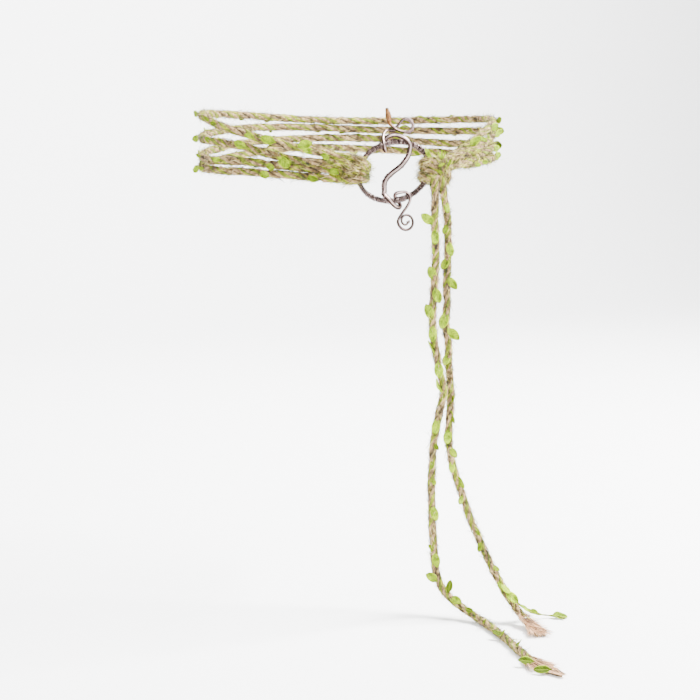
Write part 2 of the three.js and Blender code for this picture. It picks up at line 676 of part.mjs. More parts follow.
// Frayed plies that spread from a cut end
function frayedLocks(curve) {
  const end = curve.getPointAt(1);
  const ahead = curve.getTangentAt(1);
  return [-1, 0, 1].map((side) => {
    const spread = THREE.MathUtils.degToRad(LOCK_SPREAD * side);
    const direction = ahead.clone().applyAxisAngle(new THREE.Vector3(0, 0, 1), spread);
    const lock = new THREE.CylinderGeometry(0.4, CORD_DIAMETER / 4, LOCK_LENGTH, 5);
    lock.translate(0, LOCK_LENGTH / 2 - CORD_DIAMETER / 2, 0);
    const turn = new THREE.Quaternion().setFromUnitVectors(new THREE.Vector3(0, 1, 0), direction);
    return lock.applyQuaternion(turn).translate(...end);
  });
}

function tailSolid(offsets, leaves, extras) {
  const points = fromKnot(offsets);
  const curve = curveThrough(points);
  const plates = leaves.map((leaf) => placedLeaf(curve, leaf, () => TOWARDS_VIEW.clone()));
  const cord = tube(points, TAIL_STEPS, CORD_DIAMETER);
  return joined([cord, ...plates, ...frayedLocks(curve), ...extras]);
}

// Materials

const jute = new THREE.MeshStandardMaterial({ color: 0xb9a27a, roughness: 0.95, metalness: 0 });
const leafy = new THREE.MeshStandardMaterial({ color: 0xa3b04a, roughness: 0.85, metalness: 0 });
const iron = new THREE.MeshStandardMaterial({ color: 0x8a7f7a, roughness: 0.4, metalness: 1 });
const copper = new THREE.MeshStandardMaterial({ color: 0x9c7462, roughness: 0.4, metalness: 1 });

// Assembly

const belt = new THREE.Group();

function addPiece(name, geometry, material) {
  const piece = new THREE.Mesh(geometry, material.clone());
  piece.name = name;
  belt.add(piece);
}

addPiece("buckle_ring", ringTube(RING_WIRE), iron);
addPiece("snake", toGeometry(snakeSolid()), copper);
addPiece("left_hitch", toGeometry(hitchSolid()), jute);
addPiece("right_knot", toGeometry(knotSolid()), jute);
[0, 1, 2, 3].forEach((strand) => {
  addPiece(`waist_strand_${strand + 1}`, toGeometry(strandSolid(strand)), leafy);
});
addPiece("tail_long", toGeometry(tailSolid(TAIL_LONG, LONG_LEAVES, [])), leafy);
const ribbonEnd = tube(fromKnot(RIBBON_END), RIBBON_STEPS, RIBBON_DIAMETER, RIBBON_SIDES);
addPiece("tail_short", toGeometry(tailSolid(TAIL_SHORT, SHORT_LEAVES, [ribbonEnd])), leafy);

export default belt;
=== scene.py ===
"""A rope belt: leafy jute twine passed four times round the waist and tied to a wound wire ring,
which a snake of wire crosses as an S. Metres, +Z up, the wearer faces -Y."""

import math
import random
from collections import namedtuple
from itertools import repeat

import bpy
from bpy.props import FloatProperty, FloatVectorProperty, IntProperty, PointerProperty
from mathutils import Matrix, Quaternion, Vector, noise


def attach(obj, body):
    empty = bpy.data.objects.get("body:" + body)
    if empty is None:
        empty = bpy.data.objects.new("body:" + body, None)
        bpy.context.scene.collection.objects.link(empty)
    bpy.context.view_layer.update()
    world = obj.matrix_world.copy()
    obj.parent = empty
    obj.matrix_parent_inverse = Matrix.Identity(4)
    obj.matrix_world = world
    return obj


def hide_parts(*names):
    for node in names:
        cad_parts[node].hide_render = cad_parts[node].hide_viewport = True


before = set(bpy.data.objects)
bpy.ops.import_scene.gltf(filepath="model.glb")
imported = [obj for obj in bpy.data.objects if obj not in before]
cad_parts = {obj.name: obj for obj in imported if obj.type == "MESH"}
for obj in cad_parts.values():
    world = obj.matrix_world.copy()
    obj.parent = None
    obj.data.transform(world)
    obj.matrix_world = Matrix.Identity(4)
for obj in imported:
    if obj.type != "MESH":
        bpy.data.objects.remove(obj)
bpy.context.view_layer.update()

bl_info = {
    "name": "Rope belt",
    "version": (1, 0, 0),
    "blender": (4, 5, 0),
    "location": "View3D > Sidebar > Rope belt",
    "description": "Builds a leafy jute rope belt with a snake buckle, piece by piece",
    "category": "Mesh",
}

MM = 0.001
ROOT = "root"
FLOOR_HEIGHT = -0.385
LOWEST = FLOOR_HEIGHT + 0.1 * MM

# Sizes that the solids have too
GAP = 0.3 * MM
WAIST_WIDTH = 260 * MM
WAIST_DEPTH = 180 * MM
FAN_HEIGHT = 48 * MM
RING_TILT = math.radians(15.5)
RING_LEAN = math.radians(8)
RING_CENTRE = Vector((-5.1, -94, -19.6)) * MM
FULL_GIRTH = 0.15
LOOP_RADIUS = 5.5 * MM
LOOP_ALONG = 4.18
LOOP_ACROSS = 1.6
SPIRAL_RADIUS = 7.2 * MM
SPIRAL_ALONG = -0.4
SPIRAL_ACROSS = -2.5
SPIRAL_START = math.radians(162)
SPIRAL_SWEEP = math.radians(540)
SPIRAL_ROWS = 18
SPIRAL_CLOSING = 0.86
HEAD_THICKNESS = 3 * MM
HEAD_SLOPE = math.radians(-7)
STRANDS = 4
HITCH_ANGLE = 158
HITCH_PITCH = 4.3 * MM
KNOT_TURNS = 4
KNOT_ANGLE = -19
KNOT_PITCH = 5 * MM
KNOT_REACH = 9 * MM
KNOT_GATHER = 3 * MM
COLLAR_HEIGHT = 19 * MM
COLLAR_DEPTH = 15 * MM
COLLAR_SKEW = 1.5 * MM
COLLAR_PLACES = (-0.3, 0.7)
COLLAR_STEPS = 10

# The strands round the waist: degrees from the front to the wearer's right, each strand's height
# as a share of FAN_HEIGHT, and how far out it lies, in twine pitches
FanRow = namedtuple("FanRow", "around heights layers")
FAN = [
    FanRow(25, (-0.135, -0.260, -0.380, -0.520), (0, 0.2, 0, 0.2)),
    FanRow(34, (-0.050, -0.240, -0.360, -0.490), (0, 0.2, 0, 0.1)),
    FanRow(47, (0.075, -0.145, -0.300, -0.450), (0, 0, 0, 0)),
    FanRow(60, (0.210, -0.010, -0.250, -0.415), (0, 0, 0, 0)),
    FanRow(75, (0.345, 0.075, -0.235, -0.395), (0, 0, 0, 0)),
    FanRow(95, (0.520, 0.125, -0.190, -0.360), (0, 0, 0, 0)),
    FanRow(120, (0.580, 0.230, -0.080, -0.290), (0, 0, 0, 0)),
    FanRow(150, (0.580, 0.350, 0.080, -0.125), (0, 0, 0, 0)),
    FanRow(180, (0.520, 0.375, 0.170, 0.000), (0, 0, 0, 0)),
    FanRow(210, (0.500, 0.330, 0.170, -0.040), (0, 0, 0, 0)),
    FanRow(240, (0.520, 0.310, 0.085, -0.095), (0, 0, 0, 0)),
    FanRow(268, (0.520, 0.300, 0.070, -0.135), (0, 0, 0, 0)),
    FanRow(290, (0.480, 0.260, 0.040, -0.180), (0, 0, 0, 0)),
    FanRow(305, (0.345, 0.135, -0.040, -0.230), (0, 0.1, 0.1, 0)),
    FanRow(317, (0.180, 0.040, -0.105, -0.260), (0, 0.4, 0.4, 0)),
    FanRow(326, (0.020, -0.075, -0.200, -0.300), (0, 0.9, 0.9, 0)),
    FanRow(333, (-0.115, -0.135, -0.268, -0.285), (0, 1.1, 1.1, 0)),
]

# Where the snake's wire runs: degrees round the ring's oval, share of the way out to it, and
# steps out from the ring's wire and to its front, in crossings
WrapRow = namedtuple("WrapRow", "angle share off lift")
SNAKE_TOP = [
    WrapRow(25, 0.20, 0, 0.10), WrapRow(31, 0.39, 0, 0.25), WrapRow(38, 0.60, 0, 0.50),
    WrapRow(46, 0.78, 0, 0.80), WrapRow(53, 1, -0.40, 1.00), WrapRow(60, 1, 0.25, 1.05),
    WrapRow(67.5, 1, 0.80, 0.75), WrapRow(74, 1, 1.15, 0.40), WrapRow(80, 1, 1.15, -0.10),
    WrapRow(85, 1, 0.80, -0.70), WrapRow(88.5, 1, 0, -1.05), WrapRow(92.5, 1, -0.85, -0.65),
    WrapRow(95, 1, -1.15, 0), WrapRow(97, 1, -0.85, 0.65), WrapRow(97.5, 1, -0.10, 1.05),
    WrapRow(95, 1, 0.80, 0.80), WrapRow(91, 1, 1.50, 0.40), WrapRow(86, 1, 2.00, 0.10),
    WrapRow(80.5, 1, 2.10, -0.10),
]
SNAKE_BOTTOM = [
    WrapRow(206.5, 0.15, 0, 0.10), WrapRow(209.5, 0.31, 0, 0.25), WrapRow(218, 0.50, 0, 0.50),
    WrapRow(228, 0.69, 0, 0.75), WrapRow(235.5, 1, -0.95, 0.80), WrapRow(243, 1, -0.25, 1.05),
    WrapRow(250, 1, 0.55, 0.90), WrapRow(256.5, 1, 1.10, 0.50), WrapRow(262, 1, 1.25, 0),
    WrapRow(266.5, 1, 0.95, -0.60), WrapRow(266.5, 1, 0.05, -1.05), WrapRow(262, 1, -0.80, -0.70),
    WrapRow(262.5, 1, -1.15, -0.10), WrapRow(269, 1, -1.15, 0.40), WrapRow(275, 1, -0.90, 0.80),
    WrapRow(278, 1, -0.25, 1.05), WrapRow(277, 1, 0.50, 0.95), WrapRow(274, 1, 1.10, 0.60),
    WrapRow(270.5, 1, 1.60, 0.30), WrapRow(266, 1, 2.10, 0.10),
]

# The neck's loop, up to where it turns and on from there to the head: steps in loop radii from
# the loop's centre, and millimetres to the front
NECK_BEFORE = [(-2.2, -0.15, -0.8), (-1.7, 0.15, -1.4), (-1.05, 0.5, -0.9)]
NECK_AFTER = [(-1.35, -0.5, 1.3), (-2, -0.02, 1.5), (-2.48, 0.6, 1.2)]

# The head's outline: each row is a share of the head's length and its girth there
HeadRow = namedtuple("HeadRow", "along wide thick")
HEAD = [
    HeadRow(0.00, 0.34, 0.60), HeadRow(0.22, 0.46, 0.70), HeadRow(0.42, 0.84, 0.95),
    HeadRow(0.55, 1.00, 1.00), HeadRow(0.70, 0.88, 0.90), HeadRow(0.85, 0.66, 0.74),
    HeadRow(0.95, 0.58, 0.58), HeadRow(1.00, 0.34, 0.30),
]

# The hitch's turn of the ring: steps out from its wire and to its front, in wrap radii
HITCH_TURN = [(0.85, 0.75), (0, 1), (-0.85, 0.6), (-0.85, -0.6), (0, -1), (1.6, -0.8)]

# The hook at the spiral's inner end, in millimetres along and across the ring
TIP_HOOK = [(0.9, -1.3), (2.0, 0.2)]

# Finer wire round the ring and round the S, as shares of their lengths and metres between turns
Turns = namedtuple("Turns", "start end pitch")
LASHINGS = [
    Turns(0.050, 0.200, 0.0030), Turns(0.200, 0.285, 0.0016), Turns(0.300, 0.400, 0.0034),
    Turns(0.560, 0.700, 0.0034), Turns(0.715, 0.800, 0.0016), Turns(0.820, 0.930, 0.0030),
]
BINDINGS = [Turns(0.06, 0.42, 0.0026), Turns(0.55, 0.82, 0.0030)]
BINDING_WIRE = 0.55 * MM
NECK_PITCH = 0.75 * MM
HEAD_WIRE = 0.55 * MM
HEAD_PITCH = 0.66 * MM

# Routes of the free cords from the middle of the knot, in metres. The last points lie on the floor.
TAIL_LONG = [
    (-0.0095, -0.0118, -0.0150), (-0.0094, -0.0119, -0.0250), (-0.0097, -0.0117, -0.0360),
    (-0.0089, -0.0120, -0.0540), (-0.0086, -0.0121, -0.0720), (-0.0092, -0.0118, -0.0900),
    (-0.0103, -0.0113, -0.1070), (-0.0105, -0.0115, -0.1230), (-0.0096, -0.0128, -0.1380),
    (-0.0078, -0.0149, -0.1510), (-0.0064, -0.0173, -0.1630), (-0.0041, -0.0193, -0.1750),
    (-0.0047, -0.0175, -0.1860), (-0.0060, -0.0147, -0.1960), (-0.0075, -0.0128, -0.2090),
    (-0.0096, -0.0118, -0.2260), (-0.0102, -0.0115, -0.2430), (-0.0106, -0.0112, -0.2600),
    (-0.0099, -0.0115, -0.2770), (-0.0095, -0.0117, -0.2930), (-0.0083, -0.0122, -0.3080),
    (-0.0078, -0.0128, -0.3210), (-0.0066, -0.0153, -0.3330), (-0.0042, -0.0201, -0.3420),
    (-0.0001, -0.0272, -0.3486), (0.0052, -0.0354, -0.3543), (0.0102, -0.0457, -0.3588),
    (0.0130, -0.0585, -0.3614), (0.0110, -0.0840, -0.3620), (0.0073, -0.1090, -0.3620),
    (0.0023, -0.1350, -0.3620), (-0.0004, -0.1560, -0.3620), (0.0013, -0.1716, -0.3620),
    (0.0043, -0.1870, -0.3620),
]
TAIL_SHORT = [
    (-0.0005, -0.0093, -0.0150), (0.0010, -0.0100, -0.0250), (0.0026, -0.0108, -0.0370),
    (0.0033, -0.0111, -0.0540), (0.0029, -0.0109, -0.0720), (0.0024, -0.0107, -0.0910),
    (0.0028, -0.0109, -0.1070), (0.0022, -0.0107, -0.1240), (0.0041, -0.0114, -0.1400),
    (0.0046, -0.0115, -0.1570), (0.0062, -0.0117, -0.1730), (0.0064, -0.0117, -0.1900),
    (0.0050, -0.0119, -0.2070), (0.0050, -0.0130, -0.2230), (0.0071, -0.0152, -0.2400),
    (0.0104, -0.0184, -0.2540), (0.0140, -0.0222, -0.2680), (0.0176, -0.0266, -0.2830),
    (0.0218, -0.0320, -0.2970), (0.0257, -0.0373, -0.3100), (0.0293, -0.0428, -0.3216),
    (0.0327, -0.0488, -0.3323), (0.0363, -0.0554, -0.3420), (0.0394, -0.0629, -0.3504),
    (0.0418, -0.0716, -0.3574), (0.0426, -0.0825, -0.3616), (0.0412, -0.0940, -0.3620),
    (0.0396, -0.1030, -0.3620),
]
RIBBON_END = [
    (0.0315, -0.0495, -0.3330), (0.0355, -0.0550, -0.3390), (0.0420, -0.0600, -0.3475),
    (0.0525, -0.0610, -0.3555), (0.0635, -0.0625, -0.3605), (0.0750, -0.0645, -0.3629),
    (0.0805, -0.0740, -0.3630),
]

# Leaves: at is the share of the route's length, aim the angle from the route's own direction,
# lift the angle off its surface and twist the turn about the leaf's length, all in degrees.
# size is in leaf lengths and tone runs from 0, olive, to 1, lime.
Leaf = namedtuple("Leaf", "at aim lift twist size tone")
LONG_LEAVES = [
    Leaf(0.052, -131, 12, 0, 1.05, 0.80), Leaf(0.056, -5, 14, 0, 0.95, 0.75),
    Leaf(0.101, -149, 12, 55, 0.53, 0.45), Leaf(0.140, -156, 12, 0, 0.90, 0.60),
    Leaf(0.148, 20, 14, 0, 1.00, 0.85), Leaf(0.204, -158, 14, 0, 1.05, 0.65),
    Leaf(0.210, -5, 14, 0, 1.00, 0.80), Leaf(0.260, -152, 12, 65, 1.00, 0.55),
    Leaf(0.268, -8, 14, 0, 1.00, 0.90), Leaf(0.322, -138, 14, 65, 1.00, 0.60),
    Leaf(0.363, -2, 14, 0, 1.00, 0.80), Leaf(0.405, 44, 12, 0, 0.46, 0.15),
    Leaf(0.434, -3, 16, 0, 0.56, 0.50), Leaf(0.464, 28, 16, 0, 0.49, 0.60),
    Leaf(0.508, 12, 14, 0, 0.95, 0.90), Leaf(0.586, -142, 14, 40, 0.54, 0.35),
    Leaf(0.584, 8, 14, 0, 0.90, 0.80), Leaf(0.639, -138, 16, 0, 0.95, 0.55),
    Leaf(0.664, 123, 20, 0, 0.81, 0.10), Leaf(0.668, 8, 16, 0, 0.85, 0.75),
    Leaf(0.701, 7, 20, 0, 0.64, 0.10), Leaf(0.746, -4, 20, 25, 0.80, 0.15),
    Leaf(0.810, -3, 20, 25, 0.90, 0.50), Leaf(0.823, -149, 20, 0, 0.70, 0.05),
    Leaf(0.871, 14, 20, 25, 0.95, 0.25), Leaf(0.947, -138, 34, -10, 0.90, 0.05),
    Leaf(0.986, -140, 30, -10, 0.95, 0.05),
]
SHORT_LEAVES = [
    Leaf(0.018, 0, 14, 0, 0.75, 0.70), Leaf(0.066, -33, 14, 0, 0.63, 0.40),
    Leaf(0.103, 11, 14, 0, 0.90, 0.85), Leaf(0.135, -24, 12, 0, 0.75, 0.55),
    Leaf(0.174, 38, 14, 0, 0.95, 0.80), Leaf(0.243, -15, 14, 0, 1.05, 0.75),
    Leaf(0.280, 41, 16, 0, 1.00, 0.90), Leaf(0.332, -24, 12, 0, 0.80, 0.55),
    Leaf(0.416, 27, 12, 50, 0.49, 0.15), Leaf(0.453, 20, 12, 65, 0.80, 0.55),
    Leaf(0.490, -11, 14, 0, 0.95, 0.90), Leaf(0.529, 23, 14, 0, 0.75, 0.65),
    Leaf(0.556, -14, 12, 0, 0.75, 0.80), Leaf(0.589, 14, 14, 50, 0.85, 0.60),
    Leaf(0.633, -44, 16, 0, 0.63, 0.55), Leaf(0.700, 5, 14, 60, 0.70, 0.50),
    Leaf(0.737, -34, 14, 50, 0.70, 0.60), Leaf(0.793, 30, 14, 0, 0.51, 0.55),
    Leaf(0.828, -28, 14, 0, 0.55, 0.50), Leaf(0.853, 10, 16, 0, 1.05, 1.00),
]
FRONT_LEAVES = [
    [
        Leaf(0.017, 156, 16, 0, 0.65, 0.55), Leaf(0.022, 7, 14, 0, 0.65, 0.60),
        Leaf(0.048, -153, 16, 0, 1.05, 0.85), Leaf(0.074, -7, 14, 0, 0.90, 0.55),
        Leaf(0.102, 4, 14, 0, 0.65, 0.70), Leaf(0.167, -1, 14, 0, 0.55, 0.30),
        Leaf(0.187, -29, 20, 0, 0.45, 0.25), Leaf(0.925, 119, 20, 0, 0.50, 0.35),
        Leaf(0.945, 140, 20, 0, 0.50, 0.45), Leaf(0.976, -166, 16, 0, 0.95, 0.90),
    ],
    [
        Leaf(0.073, 156, 14, 0, 1.00, 0.80), Leaf(0.118, -11, 14, 0, 0.80, 0.70),
        Leaf(0.180, -14, 14, 0, 0.55, 0.45),
    ],
    [
        Leaf(0.004, 166, 16, 0, 0.67, 0.50), Leaf(0.067, -163, 14, 0, 0.80, 0.45),
        Leaf(0.089, 162, 14, 0, 0.70, 0.65), Leaf(0.155, -16, 14, 0, 0.50, 0.60),
        Leaf(0.212, -29, 20, 0, 0.45, 0.35),
    ],
    [
        Leaf(0.037, 168, 14, 0, 0.80, 0.25), Leaf(0.102, 173, 14, 0, 0.90, 0.60),
        Leaf(0.201, 1, 20, 0, 0.40, 0.40), Leaf(0.945, 177, 20, 0, 0.50, 0.50),
        Leaf(0.965, 160, 16, 0, 0.50, 0.70),
    ],
]
RIBBON_LEAVES = [
    Leaf(0.03, 2, 4, -30, 0.80, 1.00), Leaf(0.34, -6, 4, -40, 0.70, 0.90),
    Leaf(0.50, 8, 6, 20, 0.50, 0.60), Leaf(0.80, 2, 6, -35, 1.00, 0.45),
]
TOWARDS_VIEW = Vector((-0.35, -0.8, 0.5)).normalized()

# Leaves along the sides and back of a strand, between these shares of its length
SPACED_START = 0.215
SPACED_END = 0.915

# The ribbon's own end
RIBBON_WIDE = 3.4 * MM
RIBBON_THICK = 1.8 * MM
RIBBON_STEP = 1 * MM
RIBBON_SIDES = 8
RIBBON_TONE = (1.0, 0.5, 1.0)
RIBBON_FACE = Vector((0, -0.4, 1)).normalized()

# How an end comes apart: over what length, how far its plies spread, and whether they close again
Fray = namedtuple("Fray", "length spread closes")
LONG_FRAY = Fray(0.044, 0.0030, True)
SHORT_FRAY = Fray(0.040, 0.0030, False)
FRAY_FIBRES = 520

# The side of the knot that faces ahead and to the left, how far it is from the knot's middle, and
# how many steps before the knot its own fuzz starts
KNOT_FACE = Vector((-0.42, -0.90, 0.13))
KNOT_FRONT = 11 * MM
KNOT_FUZZ_FROM = 12

# Leaves and ends of ribbon caught in the knot. root and tip are steps in millimetres to the right
# and up on that side.
KnotLeaf = namedtuple("KnotLeaf", "root tip tone narrow")
KNOT_LEAVES = [
    KnotLeaf((-5.6, 7.6), (-11.6, 18.0), 1.0, 0.50), KnotLeaf((1.8, 8.5), (-1.3, 15.6), 1.0, 0.40),
    KnotLeaf((2.2, 8.5), (1.9, 16.4), 0.9, 0.40), KnotLeaf((2.6, 8.5), (5.2, 15.0), 1.0, 0.40),
    KnotLeaf((-1.5, 3.0), (4.5, 5.5), 0.8, 0.60), KnotLeaf((-3.5, 0.5), (3.0, -2.5), 0.5, 0.60),
    KnotLeaf((-1.3, -7.6), (-8.0, -13.2), 0.1, 0.90), KnotLeaf((-5.0, -3.5), (-10.5, -7.5), 0.6, 0.60),
    KnotLeaf((-15.6, 11.0), (-20.2, 15.6), 0.05, 0.90), KnotLeaf((6.5, 2.0), (9.5, 9.0), 0.3, 0.55),
]

# Seeds of the random draws
LONG_SEED = 11
SHORT_SEED = 41
RIBBON_SEED = 77
STRAND_SEED = 100
STRAND_SEED_STEP = 20
KNOT_SEED = 230
KNOT_SEED_STEP = 5
SPACED_SEED = 300
KNOT_LEAF_SEED = 500


class TwineSettings(bpy.types.PropertyGroup):
    """The twine's sizes and colours"""

    diameter: FloatProperty(
        name="Diameter", description="Thickness of the twine", default=0.0054,
        min=0.002, unit="LENGTH", precision=4,
    )
    lay: FloatProperty(
        name="Lay", description="Length of one turn of the twine's plies", default=0.034,
        min=0.01, unit="LENGTH", precision=4,
    )
    ply_share: FloatProperty(
        name="Ply", description="Thickness of a ply as a share of the twine's",
        default=0.50, min=0.3, max=0.6, subtype="FACTOR",
    )
    ribbon_width: FloatProperty(
        name="Ribbon width", description="Width of the green ribbon between the plies",
        default=0.0034, min=0.0005, unit="LENGTH", precision=4,
    )
    hairs: IntProperty(
        name="Hairs", description="Loose fibres on each metre of twine", default=8000, min=0,
    )
    hair_length: FloatProperty(
        name="Hair length", description="Usual length of a loose fibre", default=0.0046,
        min=0.001, unit="LENGTH", precision=4,
    )
    jute: FloatVectorProperty(
        name="Jute", description="Colour of the plies in the light", subtype="COLOR",
        default=(0.62, 0.40, 0.17), min=0, max=1,
    )
    jute_shade: FloatVectorProperty(
        name="Jute shade", description="Colour of the plies between their fibres",
        subtype="COLOR", default=(0.040, 0.021, 0.008), min=0, max=1,
    )
    ribbon: FloatVectorProperty(
        name="Ribbon", description="Colour of the green ribbon", subtype="COLOR",
        default=(0.30, 0.36, 0.0), min=0, max=1,
    )


class LeafSettings(bpy.types.PropertyGroup):
    """The cloth leaves' sizes and colours"""

    length: FloatProperty(
        name="Length", description="Length of a usual leaf", default=0.015,
        min=0.004, unit="LENGTH", precision=4,
    )
    width: FloatProperty(
        name="Width", description="Width of a usual leaf", default=0.0076,
        min=0.002, unit="LENGTH", precision=4,
    )
    thickness: FloatProperty(
        name="Thickness", description="Thickness of the leaf's cloth", default=0.0004,
        min=0.0001, unit="LENGTH", precision=5,
    )
    spacing: FloatProperty(
        name="Spacing", description="Twine from one leaf to the next", default=0.027,
        min=0.01, unit="LENGTH", precision=4,
    )
    lime: FloatVectorProperty(
        name="Lime", description="Colour of the brightest leaves", subtype="COLOR",
        default=(0.23, 0.37, 0.0), min=0, max=1,
    )
    olive: FloatVectorProperty(
        name="Olive", description="Colour of the darkest leaves", subtype="COLOR",
        default=(0.020, 0.038, 0.0), min=0, max=1,
    )


class BuckleSettings(bpy.types.PropertyGroup):
    """Sizes and colours of the ring and the snake"""

    ring_length: FloatProperty(
        name="Ring length", description="Long axis of the ring's centreline", default=0.0648,
        min=0.02, unit="LENGTH", precision=4,
    )
    ring_height: FloatProperty(
        name="Ring height", description="Short axis of the ring's centreline", default=0.0458,
        min=0.02, unit="LENGTH", precision=4,
    )
    ring_wire: FloatProperty(
        name="Ring wire", description="Thickness of the wound ring", default=0.0045,
        min=0.001, unit="LENGTH", precision=4,
    )
    winding: FloatProperty(
        name="Winding wire", description="Thickness of the wire wound on the ring",
        default=0.0009, min=0.0002, unit="LENGTH", precision=5,
    )
    snake_wire: FloatProperty(
        name="Snake", description="Width of the snake's body", default=0.0043,
        min=0.001, unit="LENGTH", precision=4,
    )
    fine_wire: FloatProperty(
        name="Neck", description="Thickness of the snake's neck", default=0.0022,
        min=0.0005, unit="LENGTH", precision=4,
    )
    tip_wire: FloatProperty(
        name="Tip", description="Thickness of the tail's tip", default=0.0016,
        min=0.0005, unit="LENGTH", precision=4,
    )
    head_length: FloatProperty(
        name="Head length", description="Length of the snake's head", default=0.0152,
        min=0.004, unit="LENGTH", precision=4,
    )
    head_width: FloatProperty(
        name="Head width", description="Width of the snake's head", default=0.0056,
        min=0.002, unit="LENGTH", precision=4,
    )
    wire: FloatVectorProperty(
        name="Wire", description="Colour of the worn wire", subtype="COLOR",
        default=(0.050, 0.031, 0.027), min=0, max=1,
    )
    # The dark of hollows and of the side turned from the way outwards: partly tarnish, partly painted
    # shade
    tarnish: FloatVectorProperty(
        name="Tarnish", description="Colour of the wire in its hollows", subtype="COLOR",
        default=(0.008, 0.004, 0.003), min=0, max=1,
    )
    # The bright of the outer crest: partly rubbed wear, partly painted highlight
    rubbed: FloatVectorProperty(
        name="Rubbed wire", description="Colour of the wire where it is rubbed bright",
        subtype="COLOR", default=(0.62, 0.46, 0.43), min=0, max=1,
    )
    copper: FloatVectorProperty(
        name="Copper", description="Colour of the snake's head", subtype="COLOR",
        default=(0.30, 0.13, 0.05), min=0, max=1,
    )


class StudioSettings(bpy.types.PropertyGroup):
    """The camera's place, the floor and the lights"""

    azimuth: FloatProperty(
        name="Azimuth", description="Camera's turn to the wearer's right", default=math.radians(-25),
        subtype="ANGLE",
    )
    elevation: FloatProperty(
        name="Elevation", description="Camera's height as an angle", default=math.radians(7.5),
        subtype="ANGLE",
    )
    distance: FloatProperty(
        name="Distance", description="Camera to its target", default=1.3, min=0.2, unit="LENGTH",
    )
    target_height: FloatProperty(
        name="Target height", description="Height that the camera looks at", default=-0.175,
        unit="LENGTH",
    )
    lens: FloatProperty(
        name="Lens", description="Focal length in millimetres on a 36 mm sensor", default=76.83,
        min=10,
    )
    floor: FloatVectorProperty(
        name="Floor", description="Colour of the floor", subtype="COLOR",
        default=(0.92, 0.92, 0.92), min=0, max=1,
    )
    key: FloatProperty(
        name="Key light", description="Power of the large light", default=480, min=0, unit="POWER",
    )
    fill: FloatProperty(
        name="Fill light", description="Power of the light from the other side", default=60,
        min=0, unit="POWER",
    )
    sky: FloatProperty(
        name="Sky", description="Strength of the even light from all round", default=1.1, min=0,
    )


SETTINGS = {
    "belt_twine": TwineSettings,
    "belt_leaf": LeafSettings,
    "belt_buckle": BuckleSettings,
    "belt_studio": StudioSettings,
}

# Routes

def lerp(a, b, share):
    return a + (b - a) * share


def clamped(value, low=0.0, high=1.0):
    return max(low, min(high, value))


def smooth(low, high, value):
    share = clamped((value - low) / (high - low))
    return share * share * (3 - 2 * share)


def wobble(*place):
    """Smooth noise from -1 to 1 at up to three numbers."""
    return noise.noise(Vector((*place, 0.0, 0.0)[:3]))


def bend(p0, p1, p2, p3, share):
    """A point of the centripetal curve between p1 and p2."""
    gaps = [max(math.sqrt((b - a).length), 1e-6) for a, b in ((p0, p1), (p1, p2), (p2, p3))]
    before = (p1 - p0) / gaps[0] - (p2 - p0) / (gaps[0] + gaps[1]) + (p2 - p1) / gaps[1]
    after = (p2 - p1) / gaps[1] - (p3 - p1) / (gaps[1] + gaps[2]) + (p3 - p2) / gaps[2]
    before, after = before * gaps[1], after * gaps[1]
    square, cube = share ** 2, share ** 3
    return (
        p1 * (2 * cube - 3 * square + 1)
        + before * (cube - 2 * square + share)
        + p2 * (3 * square - 2 * cube)
        + after * (cube - square)
    )


BEND_STEPS = 16


def curve_through(points, closed=False):
    """Many points of the smooth curve through a few."""
    points = [Vector(p) for p in points]
    if closed:
        padded = [points[-1], *points, points[0], points[1]]
    else:
        padded = [2 * points[0] - points[1], *points, 2 * points[-1] - points[-2]]
    line = []
    for p0, p1, p2, p3 in zip(padded, padded[1:], padded[2:], padded[3:]):
        line.extend(bend(p0, p1, p2, p3, i / BEND_STEPS) for i in range(BEND_STEPS))
    line.append(padded[-2].copy())
    return line


class Route:
    """A smooth line resampled evenly, with a frame at each point that turns as little as it can.
    marks holds the step nearest to each of the points that the line was drawn through."""

    def __init__(self, points, step, closed=False, facing=None, girths=None):
        dense = curve_through(points, closed)
        places = [0.0]
        for a, b in zip(dense, dense[1:]):
            places.append(places[-1] + (b - a).length)
        self.length, self.closed = places[-1], closed
        self.steps = max(4, round(self.length / step))
        self.step = self.length / self.steps
        self.marks = [round(places[i * BEND_STEPS] / self.step) for i in range(len(points))]
        self.points, self.girths = [], []
        i = 1
        for k in range(self.steps + 1):
            place = self.step * k
            while i < len(places) - 1 and places[i] < place:
                i += 1
            share = (place - places[i - 1]) / max(places[i] - places[i - 1], 1e-12)
            self.points.append(dense[i - 1].lerp(dense[i], clamped(share)))
            if girths:
                row = clamped((i - 1 + share) / BEND_STEPS, 0, len(girths) - 1.001)
                self.girths.append(lerp(girths[int(row)], girths[int(row) + 1], row % 1))
        self._find_frames(facing)

    def _find_frames(self, facing):
        line, last = self.points, self.steps
        self.tangents, self.normals = [], []
        for k in range(last + 1):
            if self.closed:
                ahead = line[(k + 1) % last] - line[(k - 1) % last]
            else:
                ahead = line[min(k + 1, last)] - line[max(k - 1, 0)]
            self.tangents.append(ahead.normalized())
        normal = facing or self.tangents[0].orthogonal()
        for tangent in self.tangents:
            source = facing or normal
            normal = (source - tangent * source.dot(tangent)).normalized()
            self.normals.append(normal)
        if self.closed and not facing:
            self._close_frames()
        self.binormals = [t.cross(n) for t, n in zip(self.tangents, self.normals)]

    def _close_frames(self):
        """Share out the turn that is left between the last frame and the first."""
        first, last, axis = self.normals[0], self.normals[-1], self.tangents[0]
        left = math.atan2(last.cross(first).dot(axis), last.dot(first))
        self.normals = [
            Quaternion(tangent, left * k / self.steps) @ normal
            for k, (tangent, normal) in enumerate(zip(self.tangents, self.normals))
        ]

    def out(self, k, angle):
        """The direction at an angle round the line."""
        return self.normals[k] * math.cos(angle) + self.binormals[k] * math.sin(angle)

    def index(self, share, first=0, last=None):
        last = self.steps if last is None else last
        return round(lerp(first, last, clamped(share)))


# Meshes

